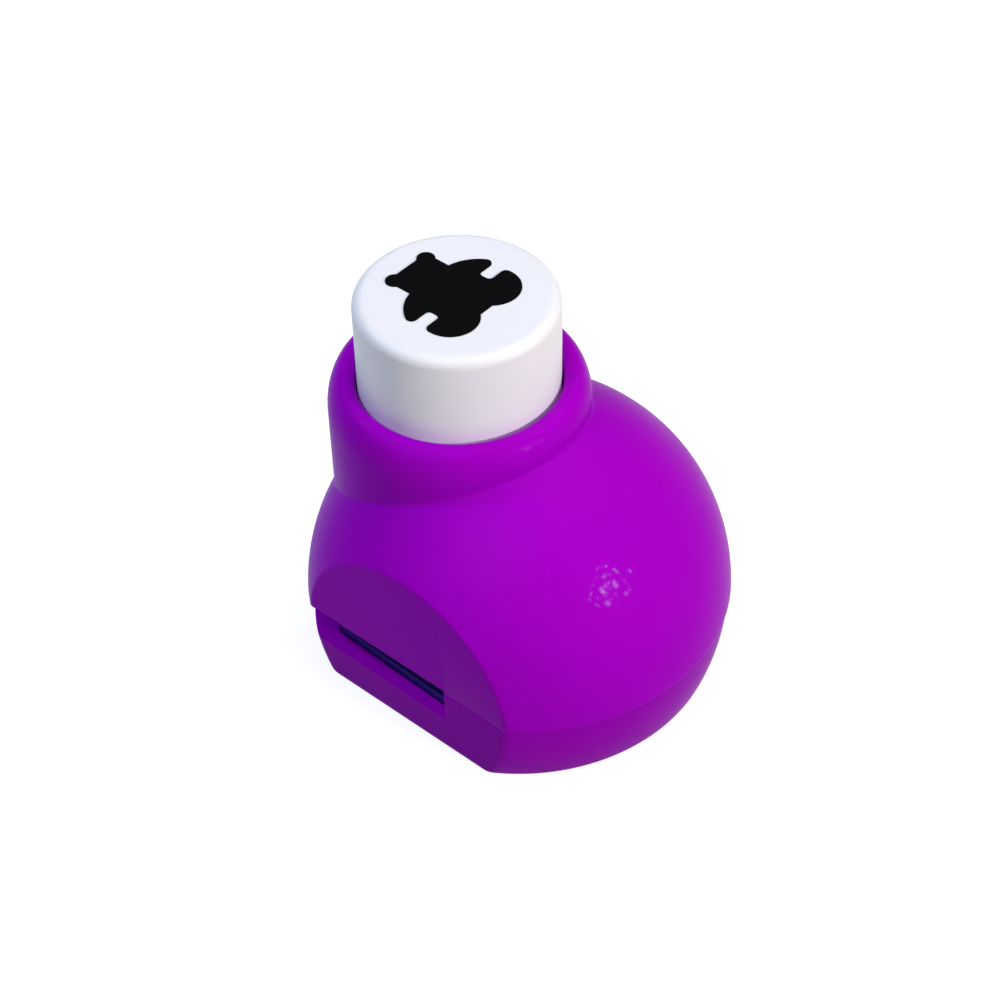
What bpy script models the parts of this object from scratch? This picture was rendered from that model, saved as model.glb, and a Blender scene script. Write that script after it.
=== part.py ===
# Craft punch: a ball-shaped hand punch that cuts a small bear out of paper.
#
# Metres, +Z up. The origin lies on the surface that the punch stands on, under the centre of the ball.
# The nose, where the paper goes in, points to -X. The punch is the same on both sides of the XZ plane.
# The button slides down along its own vertical axis, which stands nearer to the nose than the ball's centre.

from math import atan2, ceil, cos, degrees, pi, radians, sin, sqrt

import bmesh
import bpy
from mathutils import Vector

# Ball that the hand holds
BALL_RADIUS = 0.0200
BALL_HEIGHT = 0.0067
FLAT_HALF_WIDTH = 0.0160
FLAT_EDGE_ROUND = 0.0007
SHELL_WALL = 0.0016
SPLIT_HEIGHT = 0.0074
NOSE_SHOULDER = 0.0012

# Button, its collar and the tube that guides it
BUTTON_RADIUS = 0.0092
BUTTON_STAND_OUT = 0.0085
BUTTON_WALL = 0.0010
BUTTON_TOP_WALL = 0.0016
BUTTON_EDGE_ROUND = 0.0010
BUTTON_SKIRT = 0.0013
BUTTON_CLEARANCE = 0.0005
BUTTON_RIB = 0.0012
BUTTON_RIB_DEPTH = 0.0139
COLLAR_WALL = 0.0023
COLLAR_RISE = 0.0023
COLLAR_FILLET = 0.0012
SHOULDER_DEPTH = 0.0054
FLANGE_REACH = 0.0012
FLANGE_HEIGHT = 0.0015
FLANGE_CLEARANCE = 0.0004
TUBE_RUN_OUT = 0.0013
KEY_WIDTH = 0.0016
KEY_GAP = 0.0006
FILM = 0.0001

# Die set
PLATE = 0.0015
THROAT = 0.0023
RAMP_DEPTH = 0.00085
RAMP_HEIGHT = 0.00134
DIE_SET_BACK = 0.0011
DIE_TAPER = 0.0005
SPACER_LENGTH = 0.0064
CUT_CLEARANCE = 0.0003
HOLE_CORNER = 0.0001
PUNCH_THROUGH = 0.0014
PUNCH_HOLLOW = 0.00025
PUNCH_HEAD = 0.0020
PUNCH_HEAD_CHAMFER = 0.0004
RIVET_Y = 0.0060
RIVET_RADIUS = 0.0012
RIVET_HEAD_RADIUS = 0.0021
RIVET_HEAD = 0.0006
RIVET_MARGIN = 0.0004

# Return spring
WIRE_RADIUS = 0.0004
SPRING_CLEARANCE = 0.0005
SPRING_TURNS = 5

# Base cover and its screws
BASE_STEP = 0.00045
BASE_CORNER = 0.0015
BASE_EDGE_ROUND = 0.0005
BASE_WALL = 0.0026
BASE_FLOOR = 0.0015
BASE_RIB = 0.0012
DIE_LEDGE = 0.0015
CHUTE_MARGIN = 0.0005
CHUTE_WALL = 0.0013
CHUTE_CORNER = 0.0010
LIP_SET_BACK = 0.0014
LIP_HEIGHT = 0.0016
LIP_WALL = 0.0008
SCREW_RADIUS = 0.0010
SCREW_HEAD_RADIUS = 0.0020
SCREW_HEAD = 0.0013
SCREW_SEAT = 0.0022
SCREW_LENGTH = 0.0103
SCREW_RECESS = 0.0008
SCREW_SLOT = 0.0005
SIDE_SCREW_SET_BACK = 0.0025
REAR_SCREW_SET_BACK = 0.0018
BOSS_WALL = 0.0011
BOSS_CLEARANCE = 0.0008
SHELL_RIB = 0.0014
SHELL_RIB_REACH = 0.0022

# Gap between pieces that move or that are seated one in the other, and the overrun of every cut
GAP = 0.0003
OVERRUN = 0.0010

# Points nearer to each other than this are one point
MERGE = 0.000002

# Bear outline in plan from the punch's axis, its head to -X, as shares of the figure's reach
HEAD_TOP_X_SHARE = -0.886
HEAD_HALF_SHARE = 0.386
EAR_PLACE_SHARES = (-0.818, 0.311)
EAR_RADIUS_SHARE = 0.129
NECK_X_SHARE = -0.477
ARM_BOW_SHARE = 0.636
HAND_PLACE_SHARES = (-0.129, 0.735)
HAND_RADIUS_SHARE = 0.083
WAIST_HALF_SHARE = 0.500
LEG_TOP_X_SHARE = 0.152
LEG_CORNER_SHARE = 0.083
LEG_PLACE_SHARES = (0.265, 0.417)
LEG_RADIUS_SHARE = 0.394
CROTCH_X_SHARE = 0.523

# Roundness of the meshes: how many steps each curve gets
BACK_STEPS = 10
CORNER_STEPS = 2
FLAT_STEPS = 14
NOSE_STEPS = 7
BALL_STEPS = 9
ROUND_STEPS = 3
RIM_STEPS = 8
FILLET_STEPS = 4
TURN_STEPS = 48
BALL_TURN_STEPS = 40
BALL_SIDE_STEPS = 12
DIE_NOSE_STEPS = 20
EAR_STEPS = 9
ARM_STEPS = 6
WAIST_STEPS = 3
LEG_CORNER_STEPS = 4
LEG_STEPS = 14
GRIND_STEPS = 8
COIL_STEPS = 10
HALVING_STEPS = 48
SHARP_DEGREES = 35

# Places that follow from the sizes
BORE_RADIUS = BUTTON_RADIUS + BUTTON_CLEARANCE
COLLAR_RADIUS = BORE_RADIUS + COLLAR_WALL
BUTTON_AXIS_X = NOSE_SHOULDER + COLLAR_RADIUS - BALL_RADIUS
COLLAR_TOP = BALL_HEIGHT + BALL_RADIUS + COLLAR_RISE
FLANGE_RADIUS = BUTTON_RADIUS + FLANGE_REACH
TUBE_RADIUS = FLANGE_RADIUS + FLANGE_CLEARANCE
KEY_RADIUS = BUTTON_RADIUS + KEY_GAP
STROKE = GAP + THROAT + PLATE + PUNCH_THROUGH
SHOULDER_Z = COLLAR_TOP - SHOULDER_DEPTH
FLANGE_TOP_Z = SHOULDER_Z - GAP
FLANGE_LOW_Z = FLANGE_TOP_Z - FLANGE_HEIGHT
TUBE_LOW_Z = FLANGE_LOW_Z - STROKE - TUBE_RUN_OUT
BUTTON_TOP_Z = COLLAR_TOP + BUTTON_STAND_OUT
CEILING_Z = BUTTON_TOP_Z - BUTTON_TOP_WALL
DIE_TOP_Z = SPLIT_HEIGHT - THROAT
DIE_LOW_Z = DIE_TOP_Z - PLATE
GUIDE_TOP_Z = SPLIT_HEIGHT + PLATE
PUNCH_TIP_Z = SPLIT_HEIGHT + GAP
HEAD_TOP_Z = CEILING_Z - BUTTON_RIB_DEPTH
HEAD_LOW_Z = HEAD_TOP_Z - PUNCH_HEAD
HEAD_RADIUS = BUTTON_RADIUS - BUTTON_WALL - GAP
SPRING_RADIUS = HEAD_RADIUS - WIRE_RADIUS
FIGURE_REACH = SPRING_RADIUS - WIRE_RADIUS - SPRING_CLEARANCE
BASE_RADIUS = BALL_RADIUS - BASE_STEP
INNER_RADIUS = BALL_RADIUS - SHELL_WALL
INNER_HALF_WIDTH = FLAT_HALF_WIDTH - SHELL_WALL
BOSS_RADIUS = SCREW_RADIUS + GAP + BOSS_WALL
BOSS_LOW_Z = SPLIT_HEIGHT + GAP
RAMP_LOW_Z = DIE_TOP_Z - RAMP_HEIGHT
REAR_SCREW_X = INNER_RADIUS - REAR_SCREW_SET_BACK - BOSS_RADIUS
TAIL_END_X = REAR_SCREW_X - BOSS_RADIUS - BOSS_CLEARANCE
TAIL_HALF_WIDTH = RIVET_Y + RIVET_HEAD_RADIUS + RIVET_MARGIN
THROAT_END_X = TAIL_END_X - SPACER_LENGTH
RIVET_X = (THROAT_END_X + TAIL_END_X) / 2
SIDE_SCREW_X = THROAT_END_X + SIDE_SCREW_SET_BACK + BOSS_RADIUS
SIDE_SCREW_Y = TAIL_HALF_WIDTH + 2 * GAP + BOSS_RADIUS
SCREW_PLACES = ((SIDE_SCREW_X, SIDE_SCREW_Y), (SIDE_SCREW_X, -SIDE_SCREW_Y), (REAR_SCREW_X, 0))
SIDE_RIB_X = (BUTTON_AXIS_X + THROAT_END_X) / 2
DISH_START_X = TAIL_END_X + GAP + BASE_RIB
LIP_START_X = THROAT_END_X + LIP_SET_BACK
HEAD_TOP_X = HEAD_TOP_X_SHARE * FIGURE_REACH
HEAD_HALF = HEAD_HALF_SHARE * FIGURE_REACH
EAR_X, EAR_Y = (share * FIGURE_REACH for share in EAR_PLACE_SHARES)
EAR_RADIUS = EAR_RADIUS_SHARE * FIGURE_REACH
NECK_X = NECK_X_SHARE * FIGURE_REACH
ARM_BOW = ARM_BOW_SHARE * FIGURE_REACH
HAND_X, HAND_Y = (share * FIGURE_REACH for share in HAND_PLACE_SHARES)
HAND_RADIUS = HAND_RADIUS_SHARE * FIGURE_REACH
WAIST_HALF = WAIST_HALF_SHARE * FIGURE_REACH
WAIST_CORNER = CUT_CLEARANCE + HOLE_CORNER
LEG_TOP_X = LEG_TOP_X_SHARE * FIGURE_REACH
LEG_CORNER = LEG_CORNER_SHARE * FIGURE_REACH
LEG_X, LEG_Y = (share * FIGURE_REACH for share in LEG_PLACE_SHARES)
LEG_RADIUS = LEG_RADIUS_SHARE * FIGURE_REACH
CROTCH_X = CROTCH_X_SHARE * FIGURE_REACH


def arc(centre, radius, start, end, steps):
    """Points on an arc in the plane, from one angle in degrees to another, both ends included."""
    turn = [radians(start + (end - start) * step / steps) for step in range(steps + 1)]
    return [(centre[0] + radius * cos(angle), centre[1] + radius * sin(angle)) for angle in turn]


def bow_centre(start, hand, bow, tip):
    """Centre of the circle that passes through start and encloses the hand's circle, touching it."""
    reach = bow - tip
    across = Vector((hand[0] - start[0], hand[1] - start[1]))
    span = across.length
    along = (bow * bow - reach * reach + span * span) / (2 * span)
    aside = sqrt(max(bow * bow - along * along, 0))
    unit = across / span
    return (start[0] + unit.x * along + unit.y * aside, start[1] + unit.y * along - unit.x * aside)


def bear_outline():
    """The bear as a closed outline: one half made of arcs, and its mirror image."""
    head_rise = EAR_X - HEAD_TOP_X
    ear_start = degrees(atan2(-sqrt(EAR_RADIUS ** 2 - head_rise ** 2), -head_rise)) + 360
    ear_side = HEAD_HALF - EAR_Y
    ear_end = degrees(atan2(ear_side, sqrt(EAR_RADIUS ** 2 - ear_side ** 2)))
    half = arc((EAR_X, EAR_Y), EAR_RADIUS, ear_start, ear_end, EAR_STEPS)
    neck = (NECK_X, HEAD_HALF)
    hand = (HAND_X, HAND_Y)
    bow = bow_centre(neck, hand, ARM_BOW, HAND_RADIUS)
    shoulder = degrees(atan2(neck[1] - bow[1], neck[0] - bow[0]))
    wrist = degrees(atan2(hand[1] - bow[1], hand[0] - bow[0]))
    half += arc(bow, ARM_BOW, shoulder, wrist, ARM_STEPS)
    half += arc(hand, HAND_RADIUS, wrist, 0, ARM_STEPS)[1:]
    arm_low_x = HAND_X + HAND_RADIUS
    corner_y = WAIST_HALF + WAIST_CORNER
    half += arc((arm_low_x + WAIST_CORNER, corner_y), WAIST_CORNER, 180, 270, WAIST_STEPS)
    half += arc((LEG_TOP_X - WAIST_CORNER, corner_y), WAIST_CORNER, 270, 360, WAIST_STEPS)
    leg_side_y = LEG_Y + LEG_RADIUS
    leg_corner = (LEG_TOP_X + LEG_CORNER, leg_side_y - LEG_CORNER)
    half += arc(leg_corner, LEG_CORNER, 180, 90, LEG_CORNER_STEPS)
    crotch_rise = CROTCH_X - LEG_X
    crotch = degrees(atan2(-sqrt(LEG_RADIUS ** 2 - crotch_rise ** 2), crotch_rise))
    half += arc((LEG_X, LEG_Y), LEG_RADIUS, 90, crotch, LEG_STEPS)[1:]
    return half + [(x, -y) for x, y in reversed(half)]


def signed_area(outline):
    """Area of a closed outline, above zero where it runs anticlockwise."""
    following = outline[1:] + outline[:1]
    return sum(a[0] * b[1] - b[0] * a[1] for a, b in zip(outline, following)) / 2


def grown(outline, distance):
    """The outline moved outwards by a distance, with its corners mitred."""
    side = 1 if signed_area(outline) > 0 else -1
    points = []
    for index, point in enumerate(outline):
        here = Vector(point)
        before = (here - Vector(outline[index - 1])).normalized()
        after = (Vector(outline[(index + 1) % len(outline)]) - here).normalized()
        normal_before = Vector((before.y, -before.x)) * side
        normal_after = Vector((after.y, -after.x)) * side
        middle = (normal_before + normal_after).normalized()
        points.append(tuple(here + middle * (distance / middle.dot(normal_after))))
    return points


def moved(outline, x):
    return [(point[0] + x, point[1]) for point in outline]


def half_width_radius(y):
    """Distance of the ball's skin from the line along Y through its centre, with the flat's soft edge."""
    ring_y = FLAT_HALF_WIDTH - FLAT_EDGE_ROUND
    ring_radius = sqrt((BALL_RADIUS - FLAT_EDGE_ROUND) ** 2 - ring_y ** 2)
    if abs(y) <= edge_start_y():
        return sqrt(BALL_RADIUS ** 2 - y * y)
    return ring_radius + sqrt(max(FLAT_EDGE_ROUND ** 2 - (abs(y) - ring_y) ** 2, 0))


def edge_start_y():
    """Half width at which the soft edge of the side flat begins."""
    return (FLAT_HALF_WIDTH - FLAT_EDGE_ROUND) * BALL_RADIUS / (BALL_RADIUS - FLAT_EDGE_ROUND)


def skin_height(x, y):
    return BALL_HEIGHT + sqrt(max(half_width_radius(y) ** 2 - x * x, 0))


def reach_of_ray(angle):
    """Plan distance from the button's axis to the shell's outline at the split, along one direction."""
    near = 0
    far = 2 * BALL_RADIUS
    rise = SPLIT_HEIGHT - BALL_HEIGHT
    for _ in range(HALVING_STEPS):
        middle = (near + far) / 2
        x = BUTTON_AXIS_X + middle * cos(angle)
        y = middle * sin(angle)
        inside = abs(y) <= FLAT_HALF_WIDTH and half_width_radius(y) ** 2 - x * x >= rise * rise
        near, far = (middle, far) if inside else (near, middle)
    return near


def ray_angles():
    """Directions round the button's axis, with one through every corner of the side flats."""
    rise = SPLIT_HEIGHT - BALL_HEIGHT
    soft_y = edge_start_y()
    soft_x = sqrt(BALL_RADIUS ** 2 - soft_y ** 2 - rise ** 2)
    sharp_x = sqrt(half_width_radius(FLAT_HALF_WIDTH) ** 2 - rise ** 2)
    marks = [0]
    marks.append(atan2(soft_y, soft_x - BUTTON_AXIS_X))
    marks.append(atan2(FLAT_HALF_WIDTH, sharp_x - BUTTON_AXIS_X))
    marks.append(atan2(FLAT_HALF_WIDTH, -sharp_x - BUTTON_AXIS_X))
    marks.append(atan2(soft_y, -soft_x - BUTTON_AXIS_X))
    marks.append(pi)
    counts = (BACK_STEPS, CORNER_STEPS, FLAT_STEPS, CORNER_STEPS, NOSE_STEPS)
    half = []
    for start, end, count in zip(marks, marks[1:], counts):
        half += [start + (end - start) * step / count for step in range(count)]
    return half + [pi] + [-angle for angle in reversed(half[1:])]


def fillet_points(angle):
    """The fillet between collar and ball in one direction: the path of a ball that rolls in the corner."""
    radial = Vector((cos(angle), sin(angle), 0))
    away = COLLAR_RADIUS + COLLAR_FILLET
    centre = Vector((BUTTON_AXIS_X, 0, 0)) + radial * away
    outer = BALL_RADIUS + COLLAR_FILLET
    centre.z = sqrt(max(outer ** 2 - centre.x ** 2 - centre.y ** 2, 0))
    to_ball = -centre.normalized()
    start = -radial
    turn = start.angle(to_ball)
    points = []
    for step in range(FILLET_STEPS + 1):
        part = step / FILLET_STEPS
        direction = (start * sin((1 - part) * turn) + to_ball * sin(part * turn)) / sin(turn)
        point = centre + direction * COLLAR_FILLET
        points.append(Vector((point.x, point.y, point.z + BALL_HEIGHT)))
    return points


def skin_points(angle, first):
    """The ball's skin from the fillet out to the shell's outline, and down the flat to the split."""
    reach = reach_of_ray(angle)
    last = Vector((BUTTON_AXIS_X + reach * cos(angle), reach * sin(angle), 0))
    soft_share = 1
    if abs(last.y) > edge_start_y():
        soft_share = (edge_start_y() - abs(first.y)) / (abs(last.y) - abs(first.y))
    shares = [soft_share * sin(pi / 2 * step / BALL_STEPS) for step in range(1, BALL_STEPS + 1)]
    for step in range(1, ROUND_STEPS + 1):
        shares.append(soft_share + (1 - soft_share) * sin(pi / 2 * step / ROUND_STEPS))
    points = []
    for share in shares:
        x = first.x + (last.x - first.x) * share
        y = first.y + (last.y - first.y) * share
        points.append(Vector((x, y, max(skin_height(x, y), SPLIT_HEIGHT))))
    points.append(Vector((last.x, last.y, SPLIT_HEIGHT)))
    return points


def shell_rows(angle):
    """One section of the shell's outer form with its blind bore, from the bore's floor to the split."""
    rim = COLLAR_WALL / 2
    section = [(TUBE_RADIUS, TUBE_LOW_Z - OVERRUN / 2), (TUBE_RADIUS, SHOULDER_Z), (BORE_RADIUS, SHOULDER_Z)]
    section += arc((BORE_RADIUS + rim, COLLAR_TOP - rim), rim, 180, 0, RIM_STEPS)
    points = [Vector((BUTTON_AXIS_X + r * cos(angle), r * sin(angle), z)) for r, z in section]
    points += fillet_points(angle)
    return points + skin_points(angle, points[-1])


# Mesh helpers

def new_object(name, bm, material=None):
    """An object from a bmesh, with its faces turned outwards and its round sides shaded smooth."""
    bmesh.ops.remove_doubles(bm, verts=bm.verts, dist=MERGE)
    bmesh.ops.recalc_face_normals(bm, faces=bm.faces)
    mesh = bpy.data.meshes.new(name)
    bm.to_mesh(mesh)
    bm.free()
    result = bpy.data.objects.new(name, mesh)
    bpy.context.scene.collection.objects.link(result)
    if material:
        mesh.materials.append(material)
    return result


def skin_rings(bm, rings):
    """Faces between rings of the same number of vertices."""
    for lower, upper in zip(rings, rings[1:]):
        for index in range(len(lower)):
            after = (index + 1) % len(lower)
            bm.faces.new((lower[index], lower[after], upper[after], upper[index]))


def lofted(name, outlines, material=None):
    """A closed solid through outlines given as lists of 3-D points, all with the same count."""
    bm = bmesh.new()
    rings = [[bm.verts.new(point) for point in outline] for outline in outlines]
    skin_rings(bm, rings)
    bm.faces.new(rings[0])
    bm.faces.new(rings[-1])
    return new_object(name, bm, material)


def prism(name, outline, low, high, material=None):
    levels = [[(x, y, z) for x, y in outline] for z in (low, high)]
    return lofted(name, levels, material)


def box(name, x, y, z):
    return prism(name, [(x[0], y[0]), (x[1], y[0]), (x[1], y[1]), (x[0], y[1])], z[0], z[1])


def cylinder(name, place, radius, low, high, steps=TURN_STEPS // 2):
    return prism(name, arc(place, radius, 0, 360, steps)[:-1], low, high)


def turned(name, profile, place=(0, 0), material=None, steps=TURN_STEPS):
    """A solid of revolution about a vertical line: the profile runs from axis to axis."""
    bm = bmesh.new()
    poles = [bm.verts.new((place[0], place[1], z)) for r, z in (profile[0], profile[-1])]
    rings = []
    for r, z in profile[1:-1]:
        rings.append([bm.verts.new((x, y, z)) for x, y in arc(place, r, 0, 360, steps)[:-1]])
    skin_rings(bm, rings)
    for pole, ring in ((poles[0], rings[0]), (poles[1], rings[-1])):
        for index in range(steps):
            bm.faces.new((pole, ring[index], ring[(index + 1) % steps]))
    return new_object(name, bm, material)


def combine(target, other, operation):
    """One Boolean on the target, applied at once; the other object is used up."""
    modifier = target.modifiers.new(operation.lower(), 'BOOLEAN')
    modifier.operation = operation
    modifier.solver = 'EXACT'
    modifier.object = other
    evaluated = target.evaluated_get(bpy.context.evaluated_depsgraph_get())
    mesh = bpy.data.meshes.new_from_object(evaluated)
    mesh.name = target.name
    target.modifiers.clear()
    target.data = mesh
    bpy.data.objects.remove(other)
    return target


def cut(target, *cutters):
    for cutter in cutters:
        combine(target, cutter, 'DIFFERENCE')
    return target


def join(target, *others):
    for other in others:
        combine(target, other, 'UNION')
    return target


def finished(piece, x=0):
    """Merges stray points, splits faces into triangles, moves the origin to x and shades the piece."""
    bm = bmesh.new()
    bm.from_mesh(piece.data)
    bmesh.ops.remove_doubles(bm, verts=bm.verts, dist=MERGE)
    bmesh.ops.dissolve_degenerate(bm, edges=bm.edges, dist=MERGE)
    bmesh.ops.triangulate(bm, faces=bm.faces)
    bm.to_mesh(piece.data)
    bm.free()
    piece.location.x = x
    piece.data.shade_smooth()
    piece.data.set_sharp_from_angle(angle=radians(SHARP_DEGREES))
    return piece


def plastic(name, colour, roughness, metallic=0.0):
    material = bpy.data.materials.new(name)
    material.use_nodes = True
    shader = material.node_tree.nodes["Principled BSDF"]
    shader.inputs["Base Color"].default_value = (*colour, 1)
    shader.inputs["Roughness"].default_value = roughness
    shader.inputs["Metallic"].default_value = metallic
    material.diffuse_color = (*colour, 1)
    return material


# Upper shell

def ball_cavity():
    """The room inside the shell, before its ribs, tube and bosses are left standing."""
    stations = [-pi / 2 + pi * step / BALL_SIDE_STEPS for step in range(BALL_SIDE_STEPS + 1)]
    outlines = []
    for station in stations:
        y = INNER_HALF_WIDTH * sin(station)
        radius = sqrt(INNER_RADIUS ** 2 - y * y)
        ring = arc((0, BALL_HEIGHT), radius, 0, 360, BALL_TURN_STEPS)[:-1]
        outlines.append([(x, y, z) for x, z in ring])
    return lofted("cavity", outlines)


def upper_shell(material):
    angles = ray_angles()
    bm = bmesh.new()
    sections = [shell_rows(angle) for angle in angles]
    rings = [[bm.verts.new(section[row]) for section in sections] for row in range(len(sections[0]))]
    skin_rings(bm, rings)
    bm.faces.new(rings[0])
    bm.faces.new(rings[-1])
    shell = new_object("upper_shell", bm, material)
    cavity = ball_cavity()
    above = COLLAR_TOP + OVERRUN
    axis = (BUTTON_AXIS_X, 0)
    cut(cavity, cylinder("tube", axis, COLLAR_RADIUS, TUBE_LOW_Z, above, TURN_STEPS))
    for place in SCREW_PLACES:
        cut(cavity, cylinder("boss", place, BOSS_RADIUS, BOSS_LOW_Z, above))
    half_rib = SHELL_RIB / 2
    rib_start = INNER_HALF_WIDTH - SHELL_RIB_REACH
    rib_end = FLAT_HALF_WIDTH
    for side in (1, -1):
        width = sorted((side * rib_start, side * rib_end))
        length = (SIDE_RIB_X - half_rib, SIDE_RIB_X + half_rib)
        cut(cavity, box("side_rib", length, width, (GUIDE_TOP_Z, above)))
    nose_reach = (-BALL_RADIUS, SHELL_RIB_REACH - INNER_RADIUS)
    cut(cavity, box("nose_rib", nose_reach, (-half_rib, half_rib), (GUIDE_TOP_Z, above)))
    rear_reach = (BUTTON_AXIS_X + TUBE_RADIUS + GAP, TAIL_END_X - half_rib)
    cut(cavity, box("rear_rib", rear_reach, (-half_rib, half_rib), (GUIDE_TOP_Z, above)))
    cut(shell, cavity)
    key_end = (TUBE_RADIUS + COLLAR_RADIUS) / 2
    key_top = SHOULDER_Z + SHOULDER_DEPTH / 4
    for side in (1, -1):
        reach = sorted((side * KEY_RADIUS, side * key_end))
        key = box("key", (BUTTON_AXIS_X - KEY_WIDTH / 2, BUTTON_AXIS_X + KEY_WIDTH / 2), reach,
                  (TUBE_LOW_Z + GAP, key_top))
        join(shell, key)
    hole_top = SCREW_SEAT + SCREW_LENGTH + OVERRUN
    for place in SCREW_PLACES:
        cut(shell, cylinder("pilot", place, SCREW_RADIUS + GAP, SPLIT_HEIGHT - OVERRUN, hole_top))
    return finished(shell)


# Base cover

def base_outline(z, inset=0.0):
    """Plan outline of the base at one height: a circle cut by the two flats, with round corners."""
    radius = sqrt(BASE_RADIUS ** 2 - (z - BALL_HEIGHT) ** 2) - inset
    return rounded_slab(radius, FLAT_HALF_WIDTH - inset, BASE_CORNER)


def rounded_slab(radius, half_width, corner):
    """A circle cut by two flats parallel to X, its four corners rounded. Flats outside it leave it whole."""
    centre_y = min(half_width, radius) - corner
    centre_x = sqrt((radius - corner) ** 2 - centre_y ** 2)
    lean = degrees(atan2(centre_y, centre_x))
    quarter = arc((0, 0), radius, 0, lean, BACK_STEPS)
    quarter += arc((centre_x, centre_y), corner, lean, 90, ROUND_STEPS)[1:]
    half = quarter + [(-x, y) for x, y in reversed(quarter)]
    return half + [(x, -y) for x, y in reversed(half[1:-1])]


def base_solid(name, low, high, inset=0.0, material=None):
    """The base's ball slice between two heights, moved inwards by an inset."""
    count = max(2, ceil((high - low) / PLATE))
    heights = [low + (high - low) * step / count for step in range(count + 1)]
    insets = [inset] * len(heights)
    if low == 0:
        edge = []
        for step in range(ROUND_STEPS):
            turn = pi / 2 * step / ROUND_STEPS
            edge.append((BASE_EDGE_ROUND * (1 - cos(turn)), BASE_EDGE_ROUND * (1 - sin(turn))))
        heights = [rise for rise, _ in edge] + [max(z, BASE_EDGE_ROUND) for z in heights]
        insets = [move for _, move in edge] + insets
    levels = []
    for z, move in zip(heights, insets):
        levels.append([(x, y, z) for x, y in base_outline(z, move)])
    return lofted(name, levels, material)


def throat_cutter():
    """Everything above the die and outside the lead-in slope, from the throat's end to the nose."""
    far = 2 * BALL_RADIUS
    height = (RAMP_LOW_Z - RAMP_HEIGHT / 2, SPLIT_HEIGHT + OVERRUN)
    cutter = box("throat", (-far, THROAT_END_X), (-far, far), height)
    island = []
    for side in (-1, 0, 1):
        z = DIE_TOP_Z - RAMP_HEIGHT * (1 - side)
        island.append([(x, y, z) for x, y in base_outline(z, RAMP_DEPTH * side)])
    return cut(cutter, lofted("island", island))


def die_outline(grow=0.0):
    """Plan outline of the die plate: a wide front with tapered sides and a tail for the rivets."""
    crest = sqrt(BASE_RADIUS ** 2 - (DIE_TOP_Z - BALL_HEIGHT) ** 2) - RAMP_DEPTH
    radius = crest - DIE_SET_BACK - GAP + grow
    rear_x = THROAT_END_X - 2 * GAP + grow
    rear_y = min(FLAT_HALF_WIDTH - RAMP_DEPTH - GAP + grow, sqrt(radius ** 2 - rear_x ** 2))
    front_y = rear_y - DIE_TAPER
    lean = degrees(atan2(front_y, -sqrt(radius ** 2 - front_y ** 2)))
    front = arc((0, 0), radius, lean, 360 - lean, DIE_NOSE_STEPS)
    tail_x = TAIL_END_X + grow
    tail_y = TAIL_HALF_WIDTH + grow
    rear = [(rear_x, -rear_y), (rear_x, -tail_y), (tail_x, -tail_y), (tail_x, tail_y), (rear_x, tail_y)]
    return front + rear + [(rear_x, rear_y)]


def chute_outline(grow=0.0):
    """Plan outline of the chip chute: a rounded rectangle round the bear."""
    hole = moved(grown(bear_outline(), CUT_CLEARANCE), BUTTON_AXIS_X)
    margin = CHUTE_MARGIN + grow
    corner = CHUTE_CORNER + grow
    low_x = min(x for x, _ in hole) - margin + corner
    high_x = max(x for x, _ in hole) + margin - corner
    side_y = max(y for _, y in hole) + margin - corner
    points = []
    for turn, place in enumerate(((high_x, side_y), (low_x, side_y), (low_x, -side_y), (high_x, -side_y))):
        points += arc(place, corner, 90 * turn, 90 * turn + 90, ROUND_STEPS)
    return points


def base_cover(material):
    base = base_solid("base_cover", 0, SPLIT_HEIGHT, material=material)
    cut(base, throat_cutter())
    above = SPLIT_HEIGHT + OVERRUN
    cut(base, prism("die_pocket", die_outline(GAP), DIE_LOW_Z, above))
    hollow = prism("nose_hollow", grown(die_outline(), -DIE_LEDGE), BASE_FLOOR, DIE_LOW_Z + OVERRUN)
    far = 2 * BALL_RADIUS
    cut(hollow, box("rear", (THROAT_END_X - DIE_LEDGE, far), (-far, far), (-far, far)))
    cut(hollow, prism("chute_walls", chute_outline(CHUTE_WALL), -OVERRUN, above))
    cut(base, hollow)
    cut(base, prism("chute", chute_outline(), -OVERRUN, above))
    dish = base_solid("dish", BASE_FLOOR, above, BASE_WALL)
    cut(dish, box("front", (-far, DISH_START_X), (-far, far), (-far, far)))
    bosses = [cylinder("boss", place, SCREW_HEAD_RADIUS + BOSS_WALL, -OVERRUN, far) for place in SCREW_PLACES]
    cut(dish, *bosses)
    cut(base, dish)
    join(base, locating_lip())
    for place in SCREW_PLACES:
        cut(base, cylinder("screw_hole", place, SCREW_RADIUS + GAP, -OVERRUN, far))
        cut(base, cylinder("head_room", place, SCREW_HEAD_RADIUS + GAP, -OVERRUN, SCREW_SEAT))
    for side in (1, -1):
        place = (RIVET_X, side * RIVET_Y)
        low = DIE_LOW_Z - RIVET_HEAD - GAP
        cut(base, cylinder("rivet_room", place, RIVET_HEAD_RADIUS + GAP, low, DIE_LOW_Z + OVERRUN))
    return finished(base)


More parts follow.
